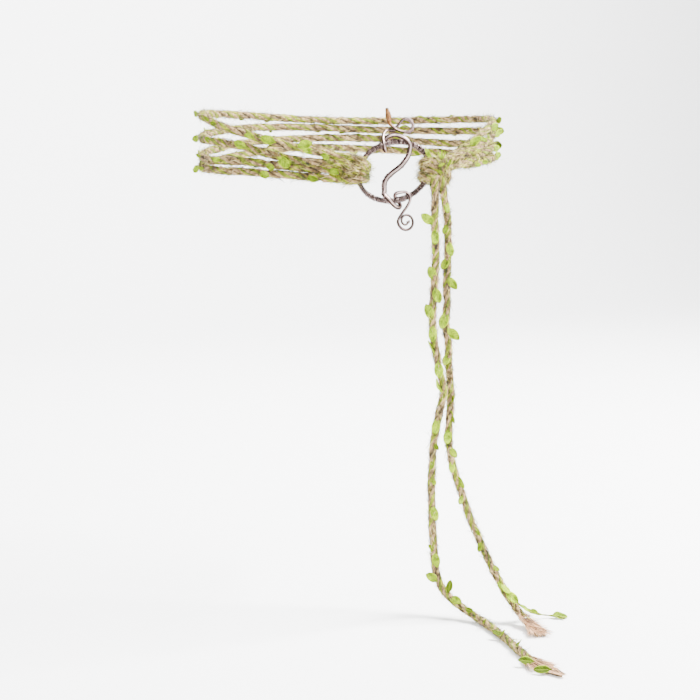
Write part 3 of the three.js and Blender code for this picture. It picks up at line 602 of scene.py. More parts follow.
class Skin:
    """Points and faces of one piece, with the two vectors that its material reads at each point:
    grain runs along and round a fibre, and tone holds dye, shade and side. On a ply, side is how far
    the point faces out from the twine's middle, and the material paints shade where it faces in."""

    def __init__(self):
        self.points, self.faces, self.grain, self.tone = [], [], [], []

    def add(self, point, grain, tone):
        """A point, which the floor holds up."""
        self.points.append((point.x, point.y, max(point.z, LOWEST)))
        self.grain.append(grain)
        self.tone.append(tone)
        return len(self.points) - 1

    def oval(self, centre, across, face, sides, grain, tone, spread=1.0):
        """Points round a centre, through the ends of two half axes. Gives their numbers."""
        ring = []
        for i in range(sides):
            angle = 2 * math.pi * i / sides
            x, y = math.cos(angle), math.sin(angle)
            ring.append(self.add(centre + across * x + face * y, (grain, spread * x, y), tone))
        return ring

    def bridge(self, rings, closed=False):
        """Faces between rings of point numbers, each ring closed on itself, with flat ends."""
        pairs = list(zip(rings, rings[1:]))
        if closed:
            pairs.append((rings[-1], rings[0]))
        else:
            self.faces.append(tuple(reversed(rings[0])))
            self.faces.append(tuple(rings[-1]))
        for a, b in pairs:
            for i in range(len(a)):
                j = (i + 1) % len(a)
                self.faces.append((a[i], a[j], b[j], b[i]))

    def piece(self, name, material, slot, *nodes):
        mesh = bpy.data.meshes.new(name)
        mesh.from_pydata(self.points, [], self.faces)
        for key, values in (("grain", self.grain), ("tone", self.tone)):
            layer = mesh.attributes.new(key, "FLOAT_VECTOR", "POINT")
            layer.data.foreach_set("vector", [x for value in values for x in value])
        mesh.polygons.foreach_set("use_smooth", [True] * len(mesh.polygons))
        mesh.materials.append(material)
        made = bpy.data.objects.new(name, mesh)
        bpy.context.scene.collection.objects.link(made)
        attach(made, ROOT)
        if nodes:
            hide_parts(*nodes)
        return made


def plain(shade=0.5):
    """The tone of bare wire, 0 where it is dull, with more painted shade, and 1 where it is bright,
    with more painted highlight.
    """
    return (0.0, shade, 0.0)


def add_wire(skin, centres, outs, girths, tones, sides, grain_step):
    """A round wire through the centres, with the way outwards, the girth and the tone at each."""
    rings = []
    last = len(centres) - 1
    for k, (centre, out, girth, tone) in enumerate(zip(centres, outs, girths, tones)):
        tangent = (centres[min(k + 1, last)] - centres[max(k - 1, 0)]).normalized()
        normal = (out - tangent * out.dot(tangent)).normalized() * (girth / 2)
        rings.append(skin.oval(
            centre, normal, tangent.cross(normal), sides, k * grain_step, tone))
    skin.bridge(rings)


# Twine

GRAIN_LENGTH = 20 * MM
TWINE_STEP = 1.9 * MM
PLIES = 3
PLY_SIDES = 8
PLY_FULLNESS = 1.22
PLY_UNTWIST = 1.5
UP = Vector((0, 0, 1))

# The ribbons' places, counted in plies, their section as shares of half the width and of the
# rise, and how far out they lie in diameters of the twine
RIBBONS = (0.5, 1.45)
RIBBON_SECTION = ((-1, 0), (-0.4, 1), (0.4, 1), (1, 0), (0, -1))
RIBBON_RISE = 0.25 * MM
RIBBON_CRINKLE = 0.35 * MM
RIBBON_OUT = 0.53

# How uneven the twine is: how much each of these varies, and in how many waves to a metre
Uneven = namedtuple("Uneven", "much waves")
LAY_DRIFT = Uneven(1.5, 42)
PLY_SWELL = Uneven(0.30, 130)
PLY_SLUBS = Uneven(0.16, 420)
PLY_LUMPS = Uneven(0.14, 300)
RIBBON_SWELL = Uneven(1.1, 95)
RIBBON_RIPPLE = Uneven(0.05, 300)
RIBBON_BULGE = Uneven(0.22, 95)

# How a frayed end's plies thin, how soon they lie flat, and their gap to the floor
FRAY_THINNING = 0.55
FRAY_SETTLED = 0.35
FLOOR_GAP = 0.2 * MM

# The shares of a frayed end from which the ribbons and the fuzz stop
RIBBON_FRAY = 0.8
FUZZ_FRAY = 0.7

# Loose fibres: their places round a section and along their length, then the two kinds, with the
# least and greatest of each draw. lean and sway turn a fibre off the twine and to its side, rise
# and curl bow it the same ways, length is in hair lengths and thickness in millimetres.
HAIR_SIDES = [(math.cos(math.radians(a)), math.sin(math.radians(a))) for a in (0, 120, 240)]
HAIR_RINGS = (0.0, 0.35, 0.7)
Hair = namedtuple("Hair", "lean sway length thickness rise curl")
STANDING = Hair((0.35, 1.5), (-0.9, 0.9), (0.45, 1.25), (0.10, 0.18), (-0.6, 0.6), (-0.8, 0.8))
LYING = Hair((0.02, 0.30), (-0.75, 0.75), (0.8, 2.0), (0.20, 0.42), (-0.30, 0.06), (-0.3, 0.3))
STANDING_SHARE = 0.30
LONG_SHARE = 0.12
LONG_HAIR = 1.9

# Where the fibres tuft: shares of the diameter, and waves to a metre
TUFT_DEPTH = (0.42, 0.54)
TUFT_RISE = 0.12
TUFT_LEAN = 0.6
TUFT_WAVES = 260

# Their dye and shade. The crest's share is painted shade: fibres in the valleys between plies darker,
# those over a ply's crest lighter
GREEN_SHARE = 0.24
GREEN_BY_RIBBON = 0.80
RIBBON_NEAR = 1.5
HAIR_SHADE = 0.40
CREST_SHADE = 0.20
TUFT_SHADE = 1.9
TUFT_SHADE_WAVES = 330


def varied(uneven, along, *place):
    """How far an uneven size is off its usual one at a place along the twine."""
    return uneven.much * wobble(along * uneven.waves, *place)


def looseness(route, k, fray):
    """0 where the plies are still laid and 1 at the very end."""
    if not fray:
        return 0.0
    return clamped(1 - (route.steps - k) * route.step / fray.length)


def fray_opening(fray, loose):
    """How far apart the plies of a frayed end are, as a share of their spread."""
    return math.sin(math.pi * loose ** 0.75) if fray.closes else loose


def lay_angle(route, k, place, seed):
    """Where a ply or a ribbon lies round the twine at a step. place counts in plies."""
    if route.closed:
        turns = max(1, round(route.length / twine().lay)) * k / route.steps
        return 2 * math.pi * (turns + place / PLIES)
    along = k * route.step
    turns = along / twine().lay + place / PLIES
    return 2 * math.pi * turns + varied(LAY_DRIFT, along, seed)


def ply_radius(route, k, seed):
    along = k * route.step
    uneven = 1 + varied(PLY_SWELL, along, seed, 1) + varied(PLY_SLUBS, along, seed, 2)
    return PLY_FULLNESS * twine().diameter * twine().ply_share / 2 * uneven


def add_ply(skin, route, ply, seed, first, last, fray=None):
    """One soft ply, laid round the route, its own fibres twisted the other way."""
    reach = PLY_FULLNESS * twine().diameter * (1 - twine().ply_share) / 2
    shade = random.Random(seed * 7 + ply).random()
    rings = []
    for k in range(first, last + (0 if route.closed else 1)):
        along = k * route.step
        turn = lay_angle(route, k, ply, seed)
        radius = ply_radius(route, k, seed + ply * 3)
        offset = route.out(k, turn) * reach
        loose = looseness(route, k, fray)
        if loose:
            radius *= 1 - FRAY_THINNING * loose
            across = route.tangents[k].cross(UP).normalized()
            rise = FLOOR_HEIGHT + radius + FLOOR_GAP - route.points[k].z
            place = fray.spread * (ply - 1 + 0.25 * wobble(k * 0.11, ply))
            flat = across * (fray_opening(fray, loose) * place) + UP * max(rise, -reach)
            offset = offset.lerp(flat, smooth(0.0, FRAY_SETTLED, loose))
        ring = []
        for i in range(PLY_SIDES):
            angle = 2 * math.pi * i / PLY_SIDES
            lump = 1 + varied(PLY_LUMPS, along, seed + ply, i * 0.7)
            fibre = angle - turn * PLY_UNTWIST
            grain = (along / GRAIN_LENGTH + seed, math.cos(fibre), math.sin(fibre))
            point = route.points[k] + offset + route.out(k, angle) * (radius * lump)
            # The third tone tells how far the point faces out from the twine's middle; the material
            # paints shade where it faces in
            ring.append(skin.add(point, grain, (0.0, shade, math.cos(angle - turn))))
        rings.append(ring)
    skin.bridge(rings, route.closed)


def ribbon_reach(route, k, place, seed):
    """Half the ribbon's width as an angle, and how far out it lies."""
    along = k * route.step
    width = twine().ribbon_width * (1 + varied(RIBBON_SWELL, along, seed, place * 9))
    bulge = max(0.0, varied(RIBBON_BULGE, along, seed, place * 5))
    out = twine().diameter * (RIBBON_OUT + varied(RIBBON_RIPPLE, along, seed, place) + bulge)
    return width / (2 * out), out


def add_ribbon(skin, route, place, seed, first, last):
    """The green ribbon: a crinkled band laid in the hollow between two plies."""
    rings = []
    for k in range(first, last + (0 if route.closed else 1)):
        middle = lay_angle(route, k, place, seed)
        spread, out = ribbon_reach(route, k, place, seed)
        ring = []
        for across, rise in RIBBON_SECTION:
            crinkle = RIBBON_CRINKLE * wobble(k * 1.3, across * 2, seed)
            reach = out + rise * RIBBON_RISE + crinkle
            point = route.points[k] + route.out(k, middle + across * spread) * reach
            grain = (k * route.step / GRAIN_LENGTH + seed, across * 1.5, rise * 0.3)
            ring.append(skin.add(point, grain, RIBBON_TONE))
        rings.append(ring)
    skin.bridge(rings, route.closed)


def add_twine(skin, route, seed, first=0, last=None, fray=None):
    """Three plies and two green ribbons over one stretch of a route."""
    last = route.steps if last is None else last
    for ply in range(PLIES):
        add_ply(skin, route, ply, seed, first, last, fray)
    laid = last - round(RIBBON_FRAY * fray.length / route.step) if fray else last
    for place in RIBBONS:
        add_ribbon(skin, route, place, seed, first, laid)


def add_hair(skin, root, direction, bow, length, thickness, tone):
    """One fibre: a thin three-sided taper to a point, which bows to one side."""
    side = direction.orthogonal().normalized()
    other = direction.cross(side)
    rings = []
    for share in HAIR_RINGS:
        centre = root + direction * (length * share) + bow * (length * share * share)
        radius = thickness / 2 * (1 - 0.5 * share)
        rings.append([
            skin.add(centre + side * (c * radius) + other * (s * radius), (share, c, s), tone)
            for c, s in HAIR_SIDES
        ])
    tip = skin.add(root + (direction + bow) * length, (1.0, 0.0, 0.0), tone)
    skin.faces.append(tuple(reversed(rings[0])))
    for a, b in zip(rings, rings[1:]):
        for i in range(3):
            j = (i + 1) % 3
            skin.faces.append((a[i], a[j], b[j], b[i]))
    a = rings[-1]
    for i in range(3):
        skin.faces.append((a[i], a[(i + 1) % 3], tip))


def green_share(route, k, angle, seed):
    """The share of green fibres at an angle round the twine."""
    for place in RIBBONS:
        apart = (angle - lay_angle(route, k, place, seed) + math.pi) % (2 * math.pi)
        if abs(apart - math.pi) < RIBBON_NEAR * ribbon_reach(route, k, place, seed)[0]:
            return GREEN_BY_RIBBON
    return GREEN_SHARE


def add_fuzz(skin, route, seed, first=0, last=None, density=1.0, pale=0.0, grounded=False):
    """The loose fibres of the twine that was made with the seed before this one: most lie along
    it as a shaggy coat, and the rest stand off it. pale lightens them, and where the twine is
    grounded those that would reach below the floor are left out."""
    last = route.steps if last is None else last
    rng = random.Random(seed)
    for _ in range(round((last - first) * route.step * twine().hairs * density)):
        k = rng.randrange(first, max(last, first + 1))
        angle = rng.uniform(0, 2 * math.pi)
        out = route.out(k, angle)
        lump = noise.noise((route.points[k] + out * MM * 3) * TUFT_WAVES)
        depth = rng.uniform(*TUFT_DEPTH) + TUFT_RISE * lump
        root = route.points[k] + out * (twine().diameter * depth)
        ahead = route.tangents[k] * rng.choice((-1, 1))
        side = out.cross(ahead)
        standing = rng.random() < STANDING_SHARE
        kind = STANDING if standing else LYING
        lean, sway = rng.uniform(*kind.lean), rng.uniform(*kind.sway)
        length = twine().hair_length * rng.uniform(*kind.length)
        if not standing:
            lean += TUFT_LEAN * max(lump, 0.0)
        elif rng.random() < LONG_SHARE:
            length *= LONG_HAIR
        thickness = rng.uniform(*kind.thickness) * MM
        bow = out * rng.uniform(*kind.rise) + side * rng.uniform(*kind.curl)
        direction = (ahead + out * lean + side * sway).normalized()
        if grounded and root.z + min(0.0, (direction.z + bow.z) * length) < LOWEST:
            continue
        dye = 1.0 if rng.random() < green_share(route, k, angle, seed - 1) else 0.0
        # Painted shade: fibres in the valleys between plies are darker, those over a crest lighter
        crest = math.cos(PLIES * (angle - lay_angle(route, k, 0, seed - 1)))
        tuft = TUFT_SHADE * noise.noise(root * TUFT_SHADE_WAVES)
        shade = HAIR_SHADE + pale + CREST_SHADE * crest + tuft + rng.uniform(-0.15, 0.15)
        add_hair(skin, root, direction, bow, length, thickness, (dye, clamped(shade), 0.0))


# Leaves

LEAF_ROWS = 10
LEAF_COLUMNS = 7
LEAF_STEM = 0.015
LEAF_TIP = 0.985

# Shares of the half width, of the length, of the thickness and of the twine's diameter: how far
# the rim waves, how hollow the face is, how thin the rim gets, and how far out a leaf starts
LEAF_RUFFLE = 0.10
LEAF_DISH = 0.06
LEAF_THINNING = 0.75
LEAF_SEAT = 0.46


def blade_width(x):
    """Half width of a leaf as a share of its greatest, from stem to tip."""
    stem = 0.12 + 0.88 * smooth(0.02, 0.30, x)
    return stem * max(math.sin(math.pi * clamped(x) ** 1.12), 0.0) ** 0.62


def add_leaf(skin, place, size, tone, seed, narrow=1.0):
    """A cloth leaf in the frame of place: x along it, y across it and z off its face."""
    settings = bpy.context.scene.belt_leaf
    rng = random.Random(seed)
    length = settings.length * size
    half = settings.width * size / 2 * narrow * rng.uniform(0.9, 1.08)
    curl, fold = rng.uniform(-0.12, 0.25), rng.uniform(0.05, 0.45)
    wave, number = rng.uniform(0, 6.28), rng.uniform(0, 40)
    sheets = []
    for side in (1, -1):
        sheet = []
        for i in range(LEAF_ROWS):
            x = lerp(LEAF_STEM, LEAF_TIP, i / (LEAF_ROWS - 1))
            row = []
            for j in range(LEAF_COLUMNS):
                y = 2 * j / (LEAF_COLUMNS - 1) - 1
                across = y * half * blade_width(x)
                ruffle = LEAF_RUFFLE * math.sin(10 * x + wave + 2 * y) * abs(y)
                height = curl * x * x * length + fold * abs(across) + ruffle * half
                height -= LEAF_DISH * length * math.sin(math.pi * x)
                thin = settings.thickness / 2 * (1 - LEAF_THINNING * abs(y) ** 3)
                point = place @ Vector((x * length, across, height + side * thin))
                point.z = max(point.z, LOWEST + (1 + side) * thin)
                row.append(skin.add(point, (x, y, number), (tone, 0.5, float(side))))
            sheet.append(row)
        sheets.append(sheet)
    top, under = sheets
    for i in range(LEAF_ROWS - 1):
        for j in range(LEAF_COLUMNS - 1):
            skin.faces.append((top[i][j], top[i + 1][j], top[i + 1][j + 1], top[i][j + 1]))
            skin.faces.append((under[i][j], under[i][j + 1], under[i + 1][j + 1], under[i + 1][j]))
        skin.faces.append((top[i][0], under[i][0], under[i + 1][0], top[i + 1][0]))
        skin.faces.append((top[i][-1], top[i + 1][-1], under[i + 1][-1], under[i][-1]))
    for j in range(LEAF_COLUMNS - 1):
        skin.faces.append((top[0][j], top[0][j + 1], under[0][j + 1], under[0][j]))
        skin.faces.append((top[-1][j], under[-1][j], under[-1][j + 1], top[-1][j + 1]))


def as_place(ahead, face, root):
    """The frame of a leaf that points ahead and shows its face."""
    side = face.cross(ahead).normalized()
    place = Matrix((ahead, side, ahead.cross(side))).transposed().to_4x4()
    place.translation = root
    return place


def add_leaves(skin, route, leaves, outward_at, seed, first=0, last=None):
    """Leaves along a stretch of a route, on the side that outward_at gives at their places."""
    for number, leaf in enumerate(leaves):
        k = route.index(leaf.at, first, last)
        tangent, root = route.tangents[k], route.points[k]
        out = outward_at(root)
        out = (out - tangent * out.dot(tangent)).normalized()
        across = out.cross(tangent)
        aim, lift = math.radians(leaf.aim), math.radians(leaf.lift)
        flat = tangent * math.cos(aim) + across * math.sin(aim)
        ahead = flat * math.cos(lift) + out * math.sin(lift)
        face = out * math.cos(lift) - flat * math.sin(lift)
        face.rotate(Quaternion(ahead, math.radians(leaf.twist)))
        place = as_place(ahead, face, root + out * (LEAF_SEAT * twine().diameter))
        add_leaf(skin, place, leaf.size, leaf.tone, seed + number * 3)


# The ring's own frame and the routes that use it

LEVEL = Vector((1, 0, 0))
UPRIGHT = Vector((0, math.sin(RING_LEAN), math.cos(RING_LEAN)))
RING_FRONT = LEVEL.cross(UPRIGHT)
RING_LONG = Quaternion(RING_FRONT, RING_TILT) @ LEVEL
RING_SHORT = Quaternion(RING_FRONT, RING_TILT) @ UPRIGHT


def twine():
    return bpy.context.scene.belt_twine


def buckle():
    return bpy.context.scene.belt_buckle


def in_ring(along, across, lift):
    """A point by steps from the ring's middle: along its oval, across it and to its front."""
    return RING_CENTRE + RING_LONG * along + RING_SHORT * across + RING_FRONT * lift


def by_ring(angle, off, lift, share=1.0):
    """A point near the ring's wire: degrees round the oval, off outwards and lift to its front."""
    turn = math.radians(angle)
    long, short = buckle().ring_length / 2, buckle().ring_height / 2
    outward = Vector((math.cos(turn) / long, math.sin(turn) / short)).normalized()
    along = share * long * math.cos(turn) + off * outward.x
    across = share * short * math.sin(turn) + off * outward.y
    return in_ring(along, across, lift)


def angle_pitch(angle, pitch):
    """The degrees round the oval that take a point on by the pitch."""
    turn = math.radians(angle)
    long, short = buckle().ring_length / 2, buckle().ring_height / 2
    return math.degrees(pitch / math.hypot(long * math.sin(turn), short * math.cos(turn)))


def wrap_radius():
    """From the middle of the ring's wire to the middle of the twine round it."""
    return buckle().ring_wire / 2 + twine().diameter / 2 + GAP


def knot_centre():
    return by_ring(KNOT_ANGLE, KNOT_REACH, 0)


def from_knot(offsets):
    centre = knot_centre()
    return [centre + Vector(offset) for offset in offsets]


def strand_points(strand):
    """The strand's places round the waist."""
    pitch = twine().diameter + GAP
    points = []
    for row in FAN:
        turn = math.radians(row.around)
        out = row.layers[strand] * pitch
        points.append(Vector((
            -(WAIST_WIDTH / 2 + out) * math.sin(turn),
            -(WAIST_DEPTH / 2 + out) * math.cos(turn),
            row.heights[strand] * FAN_HEIGHT,
        )))
    return points


def from_middle(number, count):
    """Steps from the middle of a row to one of its members."""
    return number - (count - 1) / 2


def strand_seed(strand):
    return STRAND_SEED + STRAND_SEED_STEP * strand


def strand_route(strand):
    """One strand: from behind the ring through the hitch, round the waist and into the knot.
    Gives the route and the steps between which the strand is free of both."""
    radius = wrap_radius() + GAP
    pitch = angle_pitch(HITCH_ANGLE, HITCH_PITCH)
    angle = HITCH_ANGLE + from_middle(strand, STRANDS) * pitch
    turn = [by_ring(angle, off * radius, lift * radius) for off, lift in HITCH_TURN]
    rows = strand_points(strand)
    line = curve_through(rows)
    back = (line[0] - line[1]).normalized() * twine().diameter
    on = (line[-1] - line[-2]).normalized() * (1.2 * twine().diameter)
    before = [*reversed(turn), rows[0] + back]
    bent = rows[-1] + on
    route = Route([*before, *rows, bent, bent.lerp(knot_centre(), 0.7)], TWINE_STEP)
    return route, route.marks[len(before)], route.marks[len(before) + len(rows) - 1]


def tail_route(offsets):
    """A tail from inside the knot to its end, and the step at which it leaves the knot."""
    points = from_knot(offsets)
    rise = points[0] + (points[0] - points[1]).normalized() * (1.5 * twine().diameter)
    route = Route([rise.lerp(knot_centre(), 0.6), rise, *points], TWINE_STEP)
    return route, route.marks[2]


def knot_turns():
    """The closed turns round the ring and the collar round those turns."""
    centre, radius = knot_centre(), wrap_radius()
    routes = []
    for number in range(KNOT_TURNS):
        up = -from_middle(number, KNOT_TURNS)
        angle = KNOT_ANGLE + up * angle_pitch(KNOT_ANGLE, KNOT_PITCH)
        gather = centre + RING_SHORT * (up * KNOT_GATHER)
        routes.append(Route([
            by_ring(angle, -radius, 0),
            by_ring(angle, 0, radius),
            gather + RING_FRONT * (0.8 * radius),
            gather + RING_LONG * (0.7 * radius),
            gather - RING_FRONT * (0.8 * radius),
            by_ring(angle, 0, -radius),
        ], TWINE_STEP, closed=True))
    for place in COLLAR_PLACES:
        middle = centre + RING_LONG * (place * twine().diameter)
        points = []
        for i in range(COLLAR_STEPS):
            turn = 2 * math.pi * i / COLLAR_STEPS
            points.append(
                middle
                + RING_SHORT * (COLLAR_HEIGHT / 2 * math.sin(turn))
                + RING_FRONT * (COLLAR_DEPTH / 2 * math.cos(turn))
                + RING_LONG * (COLLAR_SKEW * place * math.sin(turn))
            )
        routes.append(Route(points, TWINE_STEP, closed=True))
    return routes


def from_waist(point):
    """The way out from the waist's oval."""
    return Vector((point.x / WAIST_WIDTH ** 2, point.y / WAIST_DEPTH ** 2, 0)).normalized()


def to_view(_):
    """The way ahead and up, the same at every point."""
    return TOWARDS_VIEW


# Materials

class Value:
    """A shader socket that maths can be written with."""

    def __init__(self, surface, socket):
        self.surface, self.socket = surface, socket

    def _math(self, operation, *values, clamp=False):
        return self.surface.node(
            "Math", {"operation": operation, "use_clamp": clamp}, dict(enumerate(values)),
        )

    def __add__(self, other):
        return self._math("ADD", self, other)

    __radd__ = __add__

    def __sub__(self, other):
        return self._math("SUBTRACT", self, other)

    def __rsub__(self, other):
        return self._math("SUBTRACT", other, self)

    def __mul__(self, other):
        return self._math("MULTIPLY", self, other)

    __rmul__ = __mul__

    def __neg__(self):
        return self._math("MULTIPLY", self, -1.0)

    def size(self):
        return self._math("ABSOLUTE", self)

    def sine(self):
        return self._math("SINE", self)

    def clamp(self):
        return self._math("ADD", self, 0.0, clamp=True)

    def step(self, low, high):
        """0 below low and 1 above high, smooth between."""
        return self.surface.node(
            "MapRange", {"interpolation_type": "SMOOTHSTEP"},
            {"Value": self, "From Min": low, "From Max": high},
        )


class Surface:
    """The node tree of one material."""

    def __init__(self, name):
        self.material = bpy.data.materials.new(name)
        self.material.use_nodes = True
        self.tree = self.material.node_tree
        self.tree.nodes.clear()

    def node(self, kind, settings=None, inputs=None, output=0):
        made = self.tree.nodes.new(f"ShaderNode{kind}")
        for key, value in (settings or {}).items():
            setattr(made, key, value)
        for key, value in (inputs or {}).items():
            if isinstance(value, Value):
                self.tree.links.new(value.socket, made.inputs[key])
            else:
                made.inputs[key].default_value = value
        return Value(self, made.outputs[output])

    def attribute(self, name):
        return self.node("Attribute", {"attribute_name": name}, output="Vector")

    def parts(self, vector):
        split = self.node("SeparateXYZ", inputs={"Vector": vector}).socket.node
        return [Value(self, socket) for socket in split.outputs]

    def noise(self, vector, scale, detail=3.0, roughness=0.55):
        return self.node("TexNoise", inputs={
            "Vector": vector, "Scale": scale, "Detail": detail, "Roughness": roughness,
        })

    def place(self):
        return self.node("TexCoord", output="Object")

    def stretch(self, vector, by):
        return self.node("VectorMath", {"operation": "MULTIPLY"}, {0: vector, 1: by})

    def mix(self, share, a, b):
        colours = {
            key: value if isinstance(value, Value) else (*value[:3], 1.0)
            for key, value in ((6, a), (7, b))
        }
        return self.node("Mix", {"data_type": "RGBA"}, {0: share, **colours}, output=2)

    def patched(self, base):
        """The colour with painted shadow in patches, like that of dents and tufts, alike on plies and
        on hairs.
        """
        tuft_light = self.noise(self.place(), 190.0, 3.0, 0.6).step(0.32, 0.58)
        return self.mix(tuft_light, self.stretch(base, TUFT_PAINTED_SHADOW), base)

    def bump(self, height, distance, strength):
        return self.node(
            "Bump", inputs={"Height": height, "Distance": distance, "Strength": strength},
        )

    def finish(self, links, **fixed):
        named = {key.replace("_", " ").title(): value for key, value in fixed.items()}
        shader = self.node("BsdfPrincipled", inputs={**links, **named})
        output = self.tree.nodes.new("ShaderNodeOutputMaterial")
        self.tree.links.new(shader.socket, output.inputs["Surface"])
        return self.material


# Colours of fibres and cloth beside the ones that a user sets
JUTE_PINK = (0.52, 0.28, 0.15)
JUTE_PINK_SHADE = (0.025, 0.010, 0.005)
JUTE_PALE = (0.80, 0.58, 0.25)
JUTE_OLIVE = (0.05, 0.045, 0.003)
# Painted shade in the valleys between plies
PLY_VALLEY_SHADE = (0.030, 0.022, 0.003)
RIBBON_PALE = (0.50, 0.62, 0.01)
RIBBON_SHADE = (0.014, 0.020, 0.0)
# Painted shadow in patches on plies and hairs, as a factor on their colour
TUFT_PAINTED_SHADOW = (0.25, 0.24, 0.09)
TAN_HAIR = (1.0, 0.80, 0.36)
TAN_HAIR_SHADE = (0.030, 0.019, 0.005)
PINK_HAIR = (0.92, 0.58, 0.33)
PINK_HAIR_SHADE = (0.030, 0.012, 0.005)
GREEN_HAIR = (0.76, 0.80, 0.02)
GREEN_HAIR_SHADE = (0.012, 0.014, 0.0)
LEAF_BRIGHT = (0.48, 0.62, 0.0)
LEAF_VEIN = (0.025, 0.055, 0.001)
LEAF_RIB = (0.26, 0.35, 0.015)
LEAF_RIM = (0.50, 0.66, 0.0)
LEAF_WEAVE = (0.34, 0.46, 0.0)
LEAF_UNDER = (0.075, 0.105, 0.01)

# Colours of metal: what all of it shows at a grazing angle, and the parts of single wires
METAL_EDGE = (0.10, 0.06, 0.05, 1.0)
# Near black, so the gaps between turns read as shade: painted shade
CORE_SHADE = (0.01, 0.005, 0.004)
BINDING = (0.26, 0.185, 0.17)
# Copper in hollows and on the side turned away: tarnish and painted shade
COPPER_TARNISH_AND_SHADE = (0.03, 0.012, 0.008)
# Copper on the outer crest: rubbed wear and painted highlight
COPPER_RUBBED_HIGHLIGHT = (0.60, 0.42, 0.22)


def shared(make):
    """Each material is made once and used by every piece that has its finish."""
    def found():
        return bpy.data.materials.get(make.__name__) or make()
    return found


@shared
def jute_fibre():
    settings = twine()
    s = Surface("jute_fibre")
    grain = s.attribute("grain")
    dye, shade, crest = s.parts(s.attribute("tone"))
    streak = s.noise(grain, 3.6, 4.0, 0.65)
    fine = s.noise(s.stretch(grain, (1.0, 2.8, 2.8)), 5.0, 3.0, 0.6)
    patch = s.noise(s.place(), 300.0, 2.0)
    height = streak * 0.55 + fine * 0.45
    light = height.step(0.36, 0.62)
    tan = s.mix(light, settings.jute_shade, settings.jute)
    tan = s.mix(shade * 0.45, tan, s.mix(light, JUTE_PINK_SHADE, JUTE_PINK))
    tan = s.mix(patch.step(0.50, 0.68) * 0.45, tan, JUTE_PALE)
    tan = s.mix((1 - patch).step(0.46, 0.66) * 0.45, tan, JUTE_OLIVE)
    green = s.mix(light, RIBBON_SHADE, settings.ribbon)
    green = s.mix(fine.step(0.52, 0.68) * 0.7, green, RIBBON_PALE)
    base = s.mix(dye, tan, green)
    # Painted shade where a ply faces in, in the valleys between plies
    base = s.mix((1 - crest.step(-0.4, 0.6)) * 0.75, base, PLY_VALLEY_SHADE)
    return s.finish(
        {"Base Color": s.patched(base), "Normal": s.bump(height, 0.0009, 1.0)},
        roughness=0.92,
    )


@shared
def loose_fibre():
    s = Surface("loose_fibre")
    dye, shade, bare = s.parts(s.attribute("tone"))
    light = shade * shade * shade * 0.4 + shade * 0.25 + shade * shade * 0.35
    light = light.step(0.12, 1.0)
    tan = s.mix(light, TAN_HAIR_SHADE, TAN_HAIR)
    pink = s.mix(light, PINK_HAIR_SHADE, PINK_HAIR)
    green = s.mix(light, GREEN_HAIR_SHADE, GREEN_HAIR)
    patch = s.noise(s.place(), 90.0, 2.0)
    tan = s.mix(patch.step(0.50, 0.70) * 0.5, tan, pink)
    tan = s.mix(bare, tan, pink)
    base = s.mix(dye, tan, green)
    return s.finish({"Base Color": s.mix(bare, s.patched(base), base)}, roughness=0.85)


@shared
def leaf_cloth():
    settings = bpy.context.scene.belt_leaf
    s = Surface("leaf_cloth")
    along, across, number = s.parts(s.attribute("grain"))
    tone, _, side = s.parts(s.attribute("tone"))
    edge = across.size()
    rib = 1 - edge.step(0.03, 0.13)
    veins = ((along - edge * 0.24) * 40.0 + number).sine().step(0.5, 1.0)
    veins = veins * (1 - edge.step(0.70, 1.0)) * (1 - rib)
    dots = s.noise(s.place(), 1300.0, 2.0, 0.7)
    patch = s.noise(s.place(), 260.0, 3.0)
    base = s.mix(tone, settings.olive, settings.lime)
    base = s.mix(patch.step(0.45, 0.70) * tone * 0.75, base, LEAF_BRIGHT)
    base = s.mix((1 - patch).step(0.48, 0.66) * 0.6, base, settings.olive)
    base = s.mix(veins * 0.65, base, LEAF_VEIN)
    base = s.mix(rib * 0.5, base, LEAF_RIB)
    base = s.mix(edge.step(0.78, 1.0) * 0.6, base, LEAF_RIM)
    base = s.mix(dots.step(0.50, 0.66) * 0.25, base, LEAF_WEAVE)
    base = s.mix((-side).clamp() * 0.4, base, LEAF_UNDER)
    height = dots * 0.4 + rib * 0.8 - veins * 0.6
    return s.finish(
        {"Base Color": base, "Specular IOR Level": 0.1, "Normal": s.bump(height, 0.0003, 0.8)},
        roughness=0.75,
    )


def metal(name, worn, hollow_shade, rubbed, rough, scale):
    """Worn wire: dark in its hollows and on its side turned from the way outwards, partly tarnish and
    partly painted shade, and bright along its outer crest, partly rubbed wear and partly painted
    highlight, where the tone and its turn outwards say.
    """
    s = Surface(name)
    spots = s.noise(s.place(), scale, 4.0, 0.6)
    grain = s.attribute("grain")
    _, outward, _ = s.parts(grain)
    _, shine, _ = s.parts(s.attribute("tone"))
    # The tone's shine paints a whole wire brighter or darker
    outward = outward + (shine - 0.5) * 0.7
    scratches = s.noise(grain, 9.0, 3.0, 0.7)
    # Dark in hollows and on the side turned from the way outwards: tarnish and painted shade
    lit_and_worn_share = (outward + (spots - 0.5) * 1.4).step(-0.10, 0.90)
    base = s.mix(lit_and_worn_share, hollow_shade, worn)
    # Bright along the outer crest: rubbed wear and painted highlight
    bright = (outward + (scratches - 0.5) * 0.9).step(0.80, 1.06)
    base = s.mix(bright * 0.85, base, rubbed)
    roughness = rough + (1 - lit_and_worn_share) * 0.20
    height = scratches * 0.5 + spots * 0.5
    return s.finish(
        {"Base Color": base, "Roughness": roughness, "Normal": s.bump(height, 0.0002, 0.4)},
        metallic=1.0, specular_tint=METAL_EDGE,
    )


@shared
def wound_wire():
    return metal(
        "wound_wire", buckle().wire, buckle().tarnish, buckle().rubbed, 0.30, 330.0)


# The cores under windings are near black: tarnish and painted shade in the gaps between turns
@shared
def shaded_core():
    return metal(
        "shaded_core", buckle().tarnish, CORE_SHADE, buckle().tarnish, 0.5, 300.0)


